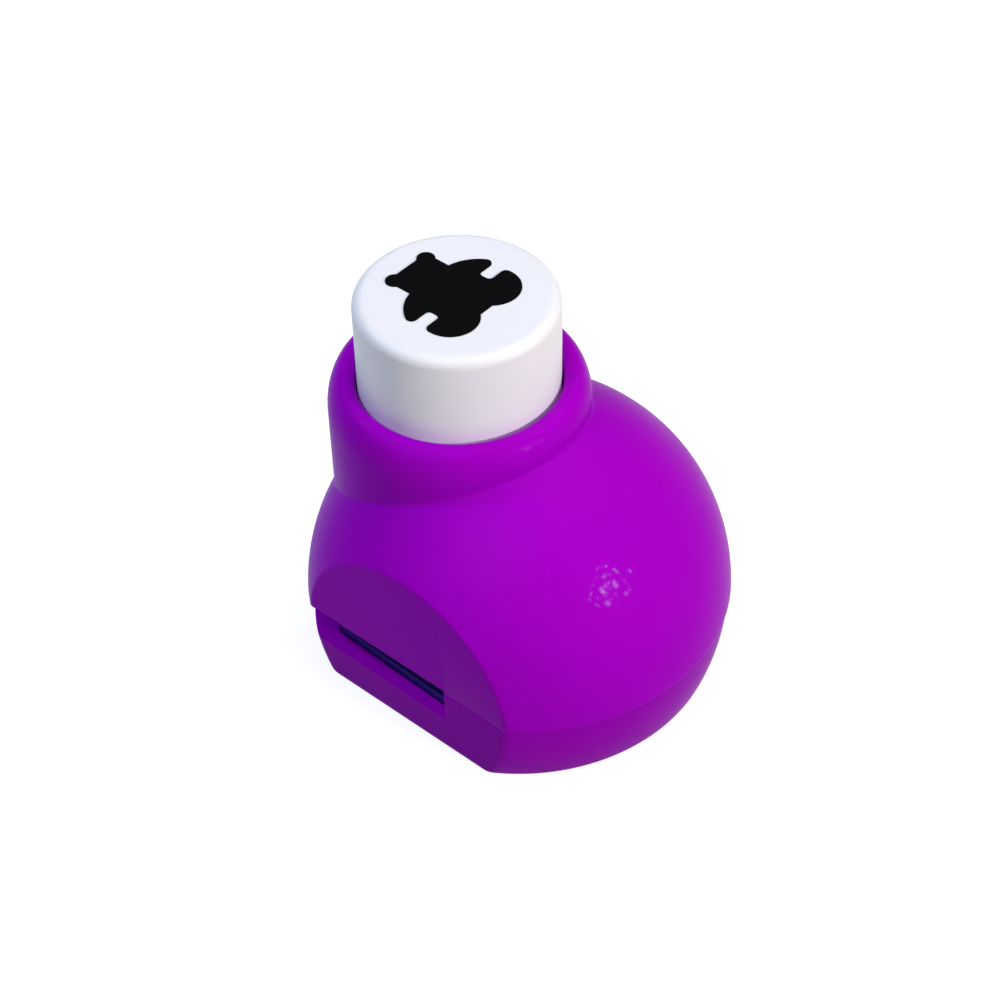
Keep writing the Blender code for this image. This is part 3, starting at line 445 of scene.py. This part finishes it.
def outline_reach(turn):
    """Plan distance from the button's axis to the shell's outline at the split, in one direction."""
    near = 0
    far = 2 * BALL_RADIUS
    for _ in range(50):
        middle = (near + far) / 2
        x = AXIS_X + middle * cos(turn)
        y = middle * sin(turn)
        inside = abs(y) <= FLAT_HALF_WIDTH and slice_radius(y) ** 2 - x * x >= SPLIT_RISE ** 2
        near, far = (middle, far) if inside else (near, middle)
    return near


def section_turns():
    """Directions of the sections, with one through every corner of the flats."""
    soft_x = sqrt(BALL_RADIUS ** 2 - SOFT_Y ** 2 - SPLIT_RISE ** 2)
    sharp_x = sqrt(RING_RADIUS ** 2 - SPLIT_RISE ** 2)
    corners = ((soft_x, SOFT_Y), (sharp_x, FLAT_HALF_WIDTH), (-sharp_x, FLAT_HALF_WIDTH), (-soft_x, SOFT_Y))
    marks = [0] + [atan2(y, x - AXIS_X) for x, y in corners] + [pi]
    half = []
    for start, end, count in zip(marks, marks[1:], (28, 4, 40, 4, 20)):
        half += [start + (end - start) * step / count for step in range(count)]
    return half + [pi] + [-turn for turn in reversed(half[1:])]


def fillet(turn, steps=10):
    """The fillet between collar and ball in one direction."""
    radial = Vector((cos(turn), sin(turn), 0))
    centre = Vector((AXIS_X, 0, 0)) + radial * (COLLAR_RADIUS + COLLAR_FILLET)
    reach = BALL_RADIUS + COLLAR_FILLET
    centre.z = sqrt(reach ** 2 - centre.x ** 2 - centre.y ** 2)
    to_ball = -centre.normalized()
    whole = (-radial).angle(to_ball)
    points = []
    for step in range(steps + 1):
        part = whole * step / steps
        way = (-radial * sin(whole - part) + to_ball * sin(part)) / sin(whole)
        points.append(centre + way * COLLAR_FILLET + Vector((0, 0, BALL_HEIGHT)))
    return points


def ball_part(turn, first, ball_steps=26, edge_steps=6, lip_steps=4):
    """From the fillet over the ball and down the flat to the split, whose edge is slightly round."""
    reach = outline_reach(turn)
    last = Vector((AXIS_X + reach * cos(turn), reach * sin(turn), 0))
    soft = 1
    if abs(last.y) > SOFT_Y:
        soft = (SOFT_Y - abs(first.y)) / (abs(last.y) - abs(first.y))
    shares = [soft * sin(pi / 2 * step / ball_steps) for step in range(1, ball_steps + 1)]
    shares += [soft + (1 - soft) * sin(pi / 2 * step / edge_steps) for step in range(1, edge_steps + 1)]
    points = []
    for share in shares:
        x = first.x + (last.x - first.x) * share
        y = first.y + (last.y - first.y) * share
        points.append(Vector((x, y, max(skin_height(x, y), SPLIT_Z + LIP_ROUND))))
    inwards = outline_normal(last.x, last.y) * LIP_ROUND
    for step in range(lip_steps + 1):
        part = pi / 2 * step / lip_steps
        edge = last - inwards * (1 - cos(part))
        points.append(Vector((edge.x, edge.y, SPLIT_Z + LIP_ROUND * (1 - sin(part)))))
    return points


def shell_section(turn, steps=24):
    """One section: bore, rim, fillet and ball. The rim is tightly round inside and falls slowly outside."""
    corner = fillet(turn)
    fall = min(RIM_FALL, COLLAR_TOP - GAP - corner[0].z)
    crest = BORE_RADIUS + RIM_INSIDE
    floor = (TUBE_RADIUS, BUTTON_LOW - BORE_DEPTH)
    bore = [floor, (TUBE_RADIUS, COLLAR_TOP - SHOULDER_DEPTH), (BORE_RADIUS, COLLAR_TOP - SHOULDER_DEPTH)]
    bore += arc((crest, COLLAR_TOP - RIM_INSIDE), RIM_INSIDE, 180, 90, 8)
    for x, y in arc((0, 0), 1, 90, 0, steps)[1:]:
        bore.append((crest + RIM_OUTSIDE * x, COLLAR_TOP - fall * (1 - y)))
    points = [Vector((AXIS_X + r * cos(turn), r * sin(turn), z)) for r, z in bore] + corner
    return points + ball_part(turn, points[-1])


sections = [shell_section(turn) for turn in section_turns()]
shell = stacked("upper_shell_moulding", [list(row) for row in zip(*sections)])
print("sections:", len(sections), "points in each:", len(sections[0]))

# %% [markdown]
# ## The room inside the shell
# The wall is 1.6 mm thick, so the core of the mould is a smaller ball with flats. The tube that guides the
# button, three screw bosses and the ribs that hold the plates down are cut out of that core, which leaves
# them standing in the shell. Two keys in the tube stop the button from turning. The shell's lower edge is
# the roof of the throat, a little higher than the seam behind it, so a thin slab is cut away under it.

# %% Hollow the shell
SCREW_PLACES = ((9.5 * MM, 11.5 * MM), (9.5 * MM, -11.5 * MM), (14.2 * MM, 0))
BOSS_RADIUS = 2.4 * MM
SCREW_HOLE = 1.3 * MM
INNER_RADIUS = BALL_RADIUS - SHELL_WALL
INNER_HALF = FLAT_HALF_WIDTH - SHELL_WALL
TUBE_LOW = BUTTON_LOW - 5.5 * MM
RIB = 1.4 * MM
SIDE_RIB_X = -1.1 * MM
THROAT_END = 4.6 * MM
THROAT_RISE = 0.4 * MM
SIDE_RIB_Y = 12.2 * MM
NOSE_RIB_X = -16.2 * MM
REAR_RIB_X = (4.3 * MM, 10.3 * MM)
KEY_HALF = 0.8 * MM
KEY_Y = (9.8 * MM, 11.4 * MM)
KEY_DROP = 4.0 * MM
PILOT_TOP = 13.5 * MM
CORE_SLICES = 32
above = COLLAR_TOP + OVERRUN

slices = []
for step in range(CORE_SLICES + 1):
    y = INNER_HALF * sin(-pi / 2 + pi * step / CORE_SLICES)
    ring = arc((0, BALL_HEIGHT), sqrt(INNER_RADIUS ** 2 - y * y), 0, 360, 96)[:-1]
    slices.append([(x, y, z) for x, z in ring])
core = stacked("core", slices)
standing = [rod("tube", (AXIS_X, 0), COLLAR_RADIUS, TUBE_LOW, above, 120)]
standing += [rod("boss", place, BOSS_RADIUS, SPLIT_Z + GAP, above) for place in SCREW_PLACES]
side_rib_x = (SIDE_RIB_X - RIB / 2, SIDE_RIB_X + RIB / 2)
standing.append(block("side_rib", side_rib_x, (SIDE_RIB_Y, FLAT_HALF_WIDTH), (GUIDE_TOP, above)))
standing.append(block("side_rib", side_rib_x, (-FLAT_HALF_WIDTH, -SIDE_RIB_Y), (GUIDE_TOP, above)))
standing.append(block("nose_rib", (-BALL_RADIUS, NOSE_RIB_X), (-RIB / 2, RIB / 2), (GUIDE_TOP, above)))
standing.append(block("rear_rib", REAR_RIB_X, (-RIB / 2, RIB / 2), (GUIDE_TOP, above)))
boolean(core, standing, 'DIFFERENCE')
boolean(shell, [core], 'DIFFERENCE')
keys = []
key_x = (AXIS_X - KEY_HALF, AXIS_X + KEY_HALF)
key_z = (TUBE_LOW + GAP, COLLAR_TOP - KEY_DROP)
for key_y in (KEY_Y, (-KEY_Y[1], -KEY_Y[0])):
    keys.append(block("key", key_x, key_y, key_z))
boolean(shell, keys, 'UNION')
roof_x = (-BALL_RADIUS - OVERRUN, THROAT_END)
roof_z = (SPLIT_Z - OVERRUN, SPLIT_Z + THROAT_RISE)
roof_cut = block("throat_roof", roof_x, (-BALL_RADIUS, BALL_RADIUS), roof_z)
boolean(shell, [roof_cut], 'DIFFERENCE')
pilots = [rod("pilot", place, SCREW_HOLE, SPLIT_Z - OVERRUN, PILOT_TOP) for place in SCREW_PLACES]
boolean(shell, pilots, 'DIFFERENCE')
smooth(shell)
dress(shell, violet_abs, "housing", ["upper_shell"])

# %% [markdown]
# ## The base cover
# Below the split the ball goes on a little smaller, so a fine step runs round the punch. Outside the throat
# the base reaches up to the split. Round the nose it is lower: a ledge slopes up gently to the die plate,
# which stands out of it, so its dark edge shows in the throat. The base is a stack of plan outlines,
# circles cut by the flats with round corners, and the ledge is a second stack that narrows upwards and is
# left standing when the throat is cut.

# %% Outlines of the base
BASE_RADIUS = BALL_RADIUS - 0.25 * MM
BASE_CORNER = 1.5 * MM
BASE_EDGE = 0.5 * MM
TOP_EDGE = 0.06 * MM
RAMP_DEPTH = 0.85 * MM
RAMP_HEIGHT = 0.15 * MM
RAMP_CREST = DIE_TOP - 0.95 * MM
POCKET_GAP = 0.08 * MM


def slab(radius, half_width, corner, steps=(30, 6)):
    """A circle cut by two flats parallel to X, its four corners rounded."""
    centre_y = half_width - corner
    centre_x = sqrt((radius - corner) ** 2 - centre_y ** 2)
    lean = degrees(atan2(centre_y, centre_x))
    quarter = arc((0, 0), radius, 0, lean, steps[0])
    quarter += arc((centre_x, centre_y), corner, lean, 90, steps[1])[1:]
    half = quarter + [(-x, y) for x, y in reversed(quarter)]
    return half + [(x, -y) for x, y in reversed(half[1:-1])]


def base_level(z, inset=0.0):
    radius = sqrt(BASE_RADIUS ** 2 - (z - BALL_HEIGHT) ** 2) - inset
    return [(x, y, z) for x, y in slab(radius, FLAT_HALF_WIDTH - inset, BASE_CORNER)]


levels = []
for step in range(8):
    part = pi / 2 * step / 7
    levels.append(base_level(BASE_EDGE * (1 - cos(part)), BASE_EDGE * (1 - sin(part))))
levels += [base_level(BASE_EDGE + (SPLIT_Z - TOP_EDGE - BASE_EDGE) * step / 14) for step in range(1, 15)]
for step in range(1, 5):
    part = pi / 2 * step / 4
    levels.append(base_level(SPLIT_Z - TOP_EDGE * (1 - sin(part)), TOP_EDGE * (1 - cos(part))))
base = stacked("base_cover_moulding", levels)
print("levels of the base:", len(levels))

# %% [markdown]
# ## Throat, pocket, chute and wells
# These hollows come one by one. The pocket fits the die plate closely, because its edge shows in the
# throat. The outline of the bear is needed here too, because the chute is as large as the bear with a
# little room round it. The outline follows the print in the photograph: its ears, head, arms and legs were
# measured there and rebuilt from arcs, the same on both sides.

# %% Outline of the bear
REACH = 6.6 * MM
HEAD_TOP_X, HEAD_HALF = -0.886 * REACH, 0.386 * REACH
EAR, EAR_RADIUS = (-0.818 * REACH, 0.311 * REACH), 0.129 * REACH
NECK_X, ARM_BOW = -0.477 * REACH, 0.636 * REACH
HAND, HAND_RADIUS = (-0.129 * REACH, 0.735 * REACH), 0.083 * REACH
WAIST, WAIST_CORNER = 0.500 * REACH, 0.4 * MM
LEG_TOP_X, LEG_CORNER = 0.152 * REACH, 0.083 * REACH
LEG, LEG_RADIUS, CROTCH_X = (0.265 * REACH, 0.417 * REACH), 0.394 * REACH, 0.523 * REACH


def angle_of(point, centre):
    return degrees(atan2(point[1] - centre[1], point[0] - centre[0]))


def bear():
    """The bear's outline about the button's axis: arcs on one side, mirrored to the other."""
    ear_in = (HEAD_TOP_X, EAR[1] - sqrt(EAR_RADIUS ** 2 - (HEAD_TOP_X - EAR[0]) ** 2))
    ear_out = (EAR[0] + sqrt(EAR_RADIUS ** 2 - (HEAD_HALF - EAR[1]) ** 2), HEAD_HALF)
    points = arc(EAR, EAR_RADIUS, angle_of(ear_in, EAR) + 360, angle_of(ear_out, EAR), 22)
    neck = Vector((NECK_X, HEAD_HALF))
    span = Vector(HAND) - neck
    along = (ARM_BOW ** 2 - (ARM_BOW - HAND_RADIUS) ** 2 + span.length_squared) / (2 * span.length)
    aside = sqrt(ARM_BOW ** 2 - along ** 2)
    unit = span.normalized()
    bow = neck + unit * along + Vector((unit.y, -unit.x)) * aside
    wrist = angle_of(HAND, bow)
    points += arc(bow, ARM_BOW, angle_of(neck, bow), wrist, 18)
    points += arc(HAND, HAND_RADIUS, wrist, 0, 14)[1:]
    points += arc((HAND[0] + HAND_RADIUS + WAIST_CORNER, WAIST + WAIST_CORNER), WAIST_CORNER, 180, 270, 6)
    points += arc((LEG_TOP_X - WAIST_CORNER, WAIST + WAIST_CORNER), WAIST_CORNER, 270, 360, 6)
    points += arc((LEG_TOP_X + LEG_CORNER, LEG[1] + LEG_RADIUS - LEG_CORNER), LEG_CORNER, 180, 90, 10)
    crotch = (CROTCH_X, LEG[1] - sqrt(LEG_RADIUS ** 2 - (CROTCH_X - LEG[0]) ** 2))
    points += arc(LEG, LEG_RADIUS, 90, angle_of(crotch, LEG), 34)[1:]
    points += [(x, -y) for x, y in reversed(points)]
    return [(AXIS_X + x, y) for x, y in points]


bear_x = [x for x, _ in bear()]
print("bear, mm:", round((max(bear_x) - min(bear_x)) / MM, 1), "long")

# %% Hollow the base
DIE_MARGIN = 1.4 * MM
DIE_TAPER = 0.5 * MM
DIE_TAIL = (11.0 * MM, 8.5 * MM)
CHUTE_CORNER = 0.5 * MM
CHUTE_ROOM = 0.5 * MM
CHUTE_WALL = 1.8 * MM
BASE_FLOOR = 1.5 * MM
NOSE_SHARE = 0.9
NOSE_END = 3.1 * MM
DISH_WALL = 2.6 * MM
DISH_MIDDLE = 4.5 * MM
DISH_START = 12.5 * MM
BOSS_SKIRT = 3.1 * MM
far = 2 * BALL_RADIUS
ramp_low = RAMP_CREST - RAMP_HEIGHT


def die_outline(grow=0.0):
    """The die plate in plan: a wide front with tapered sides and a tail behind the throat."""
    crest = sqrt(BASE_RADIUS ** 2 - (DIE_TOP - BALL_HEIGHT) ** 2) - RAMP_DEPTH
    radius = crest - DIE_MARGIN + grow
    rear_y = FLAT_HALF_WIDTH - RAMP_DEPTH - GAP + grow
    front_y = rear_y - DIE_TAPER
    lean = degrees(atan2(front_y, -sqrt(radius ** 2 - front_y ** 2)))
    rear_x = THROAT_END - 2 * GAP + grow
    tail_x, tail_y = (side + grow for side in DIE_TAIL)
    rear = [(rear_x, -rear_y), (rear_x, -tail_y), (tail_x, -tail_y), (tail_x, tail_y), (rear_x, tail_y)]
    return arc((0, 0), radius, lean, 360 - lean, 72) + rear + [(rear_x, rear_y)]


def chute_outline(margin):
    """A rounded rectangle round the bear's hole."""
    corner = CHUTE_CORNER + margin
    low_x = min(x for x, _ in bear()) - GAP - margin + corner
    high_x = max(x for x, _ in bear()) + GAP + margin - corner
    side = max(y for _, y in bear()) + GAP + margin - corner
    points = []
    for quarter, place in enumerate(((high_x, side), (low_x, side), (low_x, -side), (high_x, -side))):
        points += arc(place, corner, 90 * quarter, 90 * quarter + 90, 8)
    return points


throat = block("throat", (-far, THROAT_END), (-far, far), (ramp_low - RAMP_HEIGHT / 2, SPLIT_Z + OVERRUN))
island = [base_level(RAMP_CREST - RAMP_HEIGHT * (1 - side), RAMP_DEPTH * side) for side in (-1, 0, 1)]
boolean(throat, [stacked("island", island)], 'DIFFERENCE')
nose_outline = [(x * NOSE_SHARE, y * NOSE_SHARE) for x, y in die_outline()]
nose = prism("nose", nose_outline, BASE_FLOOR, DIE_LOW + OVERRUN)
boolean(nose, [block("rear", (NOSE_END, far), (-far, far), (-far, far))], 'DIFFERENCE')
boolean(nose, [prism("chute_walls", chute_outline(CHUTE_WALL), -OVERRUN, SPLIT_Z)], 'DIFFERENCE')
dish_heights = (BASE_FLOOR, DISH_MIDDLE, SPLIT_Z + OVERRUN)
dish = stacked("dish", [base_level(z, DISH_WALL) for z in dish_heights])
boolean(dish, [block("front", (-far, DISH_START), (-far, far), (-far, far))], 'DIFFERENCE')
boolean(dish, [rod("boss", place, BOSS_SKIRT, -OVERRUN, far) for place in SCREW_PLACES], 'DIFFERENCE')
hollows = [throat, prism("pocket", die_outline(POCKET_GAP), DIE_LOW, SPLIT_Z + OVERRUN), nose]
hollows += [prism("chute", chute_outline(CHUTE_ROOM), -OVERRUN, SPLIT_Z), dish]
boolean(base, hollows, 'DIFFERENCE')
print("base so far:", len(base.data.polygons), "faces")

# %% [markdown]
# A thin lip on the base stands up inside the shell and centres the two halves. Wells from below take the
# heads of the screws, and two small wells in the pocket make room for the rivets of the die set.

# %% Lip and wells of the base
LIP_RISE = 1.6 * MM
LIP_WALL = 0.8 * MM
LIP_START = 6.0 * MM
HEAD_ROOM = (2.3 * MM, 2.2 * MM)
RIVET_X = 7.8 * MM
RIVET_Y = 6.0 * MM
RIVET_ROOM = (2.4 * MM, 0.9 * MM)
lip_top = SPLIT_Z + LIP_RISE
lip_radius = sqrt(INNER_RADIUS ** 2 - (lip_top - BALL_HEIGHT) ** 2) - GAP
lip = prism("lip", slab(lip_radius, INNER_HALF - GAP, BASE_CORNER), SPLIT_Z - LIP_WALL, lip_top)
inside = slab(lip_radius - LIP_WALL, INNER_HALF - GAP - LIP_WALL, BASE_CORNER - LIP_WALL)
lip_cuts = [prism("inside", inside, -OVERRUN, far)]
lip_cuts.append(block("front", (-far, LIP_START), (-far, far), (-far, far)))
lip_cuts += [rod("boss_room", place, BOSS_RADIUS + GAP, SPLIT_Z, far) for place in SCREW_PLACES]
boolean(lip, lip_cuts, 'DIFFERENCE')
boolean(base, [lip], 'UNION')
wells = [rod("screw_hole", place, SCREW_HOLE, -OVERRUN, far) for place in SCREW_PLACES]
wells += [rod("head_room", place, HEAD_ROOM[0], -OVERRUN, HEAD_ROOM[1], 64) for place in SCREW_PLACES]
for y in (RIVET_Y, -RIVET_Y):
    rivet_low = DIE_LOW - RIVET_ROOM[1]
    wells.append(rod("rivet_room", (RIVET_X, y), RIVET_ROOM[0], rivet_low, DIE_LOW + OVERRUN))
boolean(base, wells, 'DIFFERENCE')
smooth(base)
dress(base, violet_base_abs, "housing", ["base_cover"])

# %% [markdown]
# ## The button
# The button is a deep cap: a turned form with a rounded top edge, a flange that stops it under the collar,
# and a cross of ribs inside that presses on the punch's head. Turning a profile gives the roundest edge for
# few faces.

# %% Button
FLANGE = 1.5 * MM
CAP = 1.6 * MM
CAP_WALL = 1.0 * MM
CAP_EDGE = 1.0 * MM
FACE_INSET = 1.3 * MM
FLANGE_EDGE = 0.2 * MM
CROSS_HALF = 0.6 * MM
NOTCH_HALF = 1.1 * MM
NOTCH_Y = (9.5 * MM, 11.4 * MM)
flange_top = COLLAR_TOP - SHOULDER_DEPTH - GAP
flange_low = flange_top - FLANGE
ceiling = BUTTON_TOP - CAP
inner = BUTTON_RADIUS - CAP_WALL
profile = [(0, BUTTON_TOP), (BUTTON_RADIUS - FACE_INSET, BUTTON_TOP)]
profile += arc((BUTTON_RADIUS - CAP_EDGE, BUTTON_TOP - CAP_EDGE), CAP_EDGE, 90, 0, 12)
profile.append((BUTTON_RADIUS, flange_top))
profile += arc((FLANGE_RADIUS - FLANGE_EDGE, flange_top - FLANGE_EDGE), FLANGE_EDGE, 90, 0, 3)
profile += [(FLANGE_RADIUS, flange_low), (BUTTON_RADIUS, flange_low), (BUTTON_RADIUS, BUTTON_LOW)]
profile += [(inner, BUTTON_LOW), (inner, ceiling), (0, ceiling)]
button = turned("button_cap", profile, (AXIS_X, 0))
rib_z = (HEAD_TOP, ceiling + 0.8 * MM)
rib_reach = inner + 0.5 * MM
cross = block("cross", (AXIS_X - rib_reach, AXIS_X + rib_reach), (-CROSS_HALF, CROSS_HALF), rib_z)
arm = block("arm", (AXIS_X - CROSS_HALF, AXIS_X + CROSS_HALF), (-rib_reach, rib_reach), rib_z)
boolean(cross, [arm], 'UNION')
boolean(button, [cross], 'UNION')
notches = []
notch_x = (AXIS_X - NOTCH_HALF, AXIS_X + NOTCH_HALF)
for notch_y in (NOTCH_Y, (-NOTCH_Y[1], -NOTCH_Y[0])):
    notches.append(block("notch", notch_x, notch_y, (flange_low - GAP, flange_top + GAP)))
boolean(button, notches, 'DIFFERENCE')
smooth(button)
dress(button, white_abs, "plunger", ["press_button"])

# %% [markdown]
# The printed bear is a thin film with a sharp edge. It rests on the button's top.

# %% Printed bear
film_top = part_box("button_print")[1].z
film = prism("bear_print_film", bear(), BUTTON_TOP, film_top)
smooth(film)
dress(film, black_ink, "plunger", ["button_print"])

# %% [markdown]
# ## The return spring
# A compression spring is wound from drawn steel wire, with its last turn at each end closed on the one
# before. The turns between share the rest of the height. In the punch it flattens between guide plate and
# punch head as the button goes down; here it is wound once, at the height of the packed spring.

# %% Return spring
WIRE = 0.4 * MM
SPRING_RADIUS = 7.5 * MM
spring_low, spring_high = (corner.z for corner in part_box("return_spring"))


def spring_line(turns=5, per_turn=36):
    """Points of the wire's centre line: the pitch is tight in the first and last turn."""
    count = int(turns * per_turn)
    dead = 2.1 * WIRE
    length = spring_high - spring_low - 2 * WIRE
    open_pitch = (length - 2 * dead) / (turns - 2)
    points = []
    for step in range(count + 1):
        turn = step / per_turn
        rise = min(turn, 1) * dead
        rise += max(min(turn - 1, turns - 2), 0) * open_pitch
        rise += max(turn - turns + 1, 0) * dead
        way = 2 * pi * turn
        points.append((AXIS_X + SPRING_RADIUS * cos(way), SPRING_RADIUS * sin(way), spring_low + WIRE + rise))
    return points


curve = bpy.data.curves.new("spring_curve", 'CURVE')
curve.dimensions = '3D'
curve.bevel_depth = WIRE
curve.bevel_resolution = 3
curve.use_fill_caps = True
line = spring_line()
spline = curve.splines.new('POLY')
spline.points.add(len(line) - 1)
for place, point in zip(spline.points, line):
    place.co = (*point, 1)
wound = bpy.data.objects.new("wound", curve)
bpy.context.scene.collection.objects.link(wound)
spring_mesh = bpy.data.meshes.new_from_object(wound.evaluated_get(bpy.context.evaluated_depsgraph_get()))
bpy.data.objects.remove(wound)
spring = bpy.data.objects.new("wound_return_spring", spring_mesh)
bpy.context.scene.collection.objects.link(spring)
smooth(spring, 60)
dress(spring, spring_wire, "housing", ["return_spring"])
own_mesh(spring)

# %% [markdown]
# ## Metal parts that keep their packed form
# Plates, spacer, rivets, screws and the punch have the right shape already, so they only get their metal.
# Their round faces are shaded smooth, and an edge stays sharp where two faces meet at more than 32 degrees,
# as it does on a part that is punched or turned.

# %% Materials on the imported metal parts
metals = {"guide_plate": ground_steel, "die_plate": die_steel_painted_blue, "throat_spacer": spacer_steel,
          "punch": cast_zinc, "die_rivet_1": plated_steel, "die_rivet_2": plated_steel,
          "cover_screw_1": plated_steel, "cover_screw_2": plated_steel, "cover_screw_3": plated_steel}
for name, metal in metals.items():
    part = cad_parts[name]
    part.data.materials.clear()
    part.data.materials.append(metal)
    part.data.shade_smooth()
    part.data.set_sharp_from_angle(angle=radians(SHARP_ANGLE))
print("packed parts with their metal:", len(metals))

# %% [markdown]
# ## Floor, light and background
# The photograph shows the punch alone on white, lit by a small light from the right and soft light from
# above. The floor is a matte sheet that keeps the punch's shadow. It ends before it would show as a grey
# band behind the punch. What the camera and shiny surfaces see of floor and surroundings is lifted to
# white, which adds no light to the object.

# %% Floor and world
FLOOR_LIFT = 0.78
FLOOR_REACH = 450 * MM


def floor_material():
    material, tree, shader, place = new_material("white_paper_floor")
    tooth = add(tree, "ShaderNodeTexNoise", {"Vector": place, "Scale": 1 / (0.5 * MM), "Detail": 3.0})
    bump = add(tree, "ShaderNodeBump",
               {"Height": tooth.outputs["Fac"], "Strength": 0.05, "Distance": 0.02 * MM})
    tree.links.new(bump.outputs["Normal"], shader.inputs["Normal"])
    path = add(tree, "ShaderNodeLightPath")
    seen = add(tree, "ShaderNodeMath", {0: path.outputs["Is Camera Ray"], 1: path.outputs["Is Glossy Ray"]},
               operation='MAXIMUM')
    seen_all = add(tree, "ShaderNodeMath", {0: seen.outputs[0], 1: path.outputs["Is Transmission Ray"]},
                   operation='MAXIMUM')
    lift = add(tree, "ShaderNodeMath", {0: seen_all.outputs[0], 1: FLOOR_LIFT}, operation='MULTIPLY')
    shader.inputs["Base Color"].default_value = linear("#A8A8A8")
    shader.inputs["Roughness"].default_value = 0.9
    shader.inputs["Specular IOR Level"].default_value = 0.0
    shader.inputs["Emission Color"].default_value = (1, 1, 1, 1)
    tree.links.new(lift.outputs[0], shader.inputs["Emission Strength"])
    return material


floor = block("floor", (-FLOOR_REACH, FLOOR_REACH), (-FLOOR_REACH, FLOOR_REACH), (-10 * MM, 0))
floor.data.materials.append(floor_material())

world = bpy.data.worlds.new("white_surroundings")
world.use_nodes = True
tree = world.node_tree
tree.nodes.clear()
path = add(tree, "ShaderNodeLightPath")
seen = add(tree, "ShaderNodeMath", {0: path.outputs["Is Camera Ray"], 1: path.outputs["Is Glossy Ray"]},
           operation='MAXIMUM')
seen_all = add(tree, "ShaderNodeMath", {0: seen.outputs[0], 1: path.outputs["Is Transmission Ray"]},
               operation='MAXIMUM')
light = add(tree, "ShaderNodeBackground", {"Color": linear("#9DB4FF"), "Strength": 0.03})
shown = add(tree, "ShaderNodeBackground", {"Color": (1, 1, 1, 1), "Strength": 1.0})
mixed = add(tree, "ShaderNodeMixShader", {0: seen_all.outputs[0], 1: light.outputs[0], 2: shown.outputs[0]})
add(tree, "ShaderNodeOutputWorld", {"Surface": mixed.outputs[0]})
bpy.context.scene.world = world
print("floor and world are white")

# %% [markdown]
# Four area lamps make the shapes readable. The key lamp is small and stands low on the right, where the
# sparkle on the ball points back to: a small lamp gives small, bright sparks. Two soft lamps hang overhead.
# The one at the back whitens the top of the button, and the one in front shades the collar from its bright
# crest down to its foot. The fourth stands high on the left, is bluer and small too, and draws the thin
# bright line along the collar's rim.

# %% Lamps
def area_lamp(name, toward, distance, size, power, colour):
    """A square lamp in one direction from the ball's centre, aimed at it."""
    lamp = bpy.data.lights.new(name, 'AREA')
    lamp.size = size
    lamp.energy = power
    lamp.color = linear(colour)[:3]
    holder = bpy.data.objects.new(name, lamp)
    way = Vector(toward).normalized()
    holder.location = ball_centre + way * distance
    holder.rotation_euler = way.to_track_quat('Z', 'Y').to_euler()
    bpy.context.scene.collection.objects.link(holder)
    return holder


area_lamp("key_lamp", (0.95, 0.08, 0.43), 0.6, 0.08, 2.15, "#FFFAF3")
area_lamp("front_lamp", (0.10, -0.60, 1.00), 0.6, 0.40, 1.42, "#F8FBFF")
area_lamp("overhead_lamp", (0.10, 0.35, 1.00), 0.6, 0.50, 1.50, "#FFFCFA")
area_lamp("left_lamp", (-0.68, -0.24, 0.70), 0.6, 0.04, 0.90, "#A5D0FF")
scene = bpy.context.scene
scene.view_settings.view_transform = 'Standard'
print("lamps:", [item.name for item in bpy.data.lights])
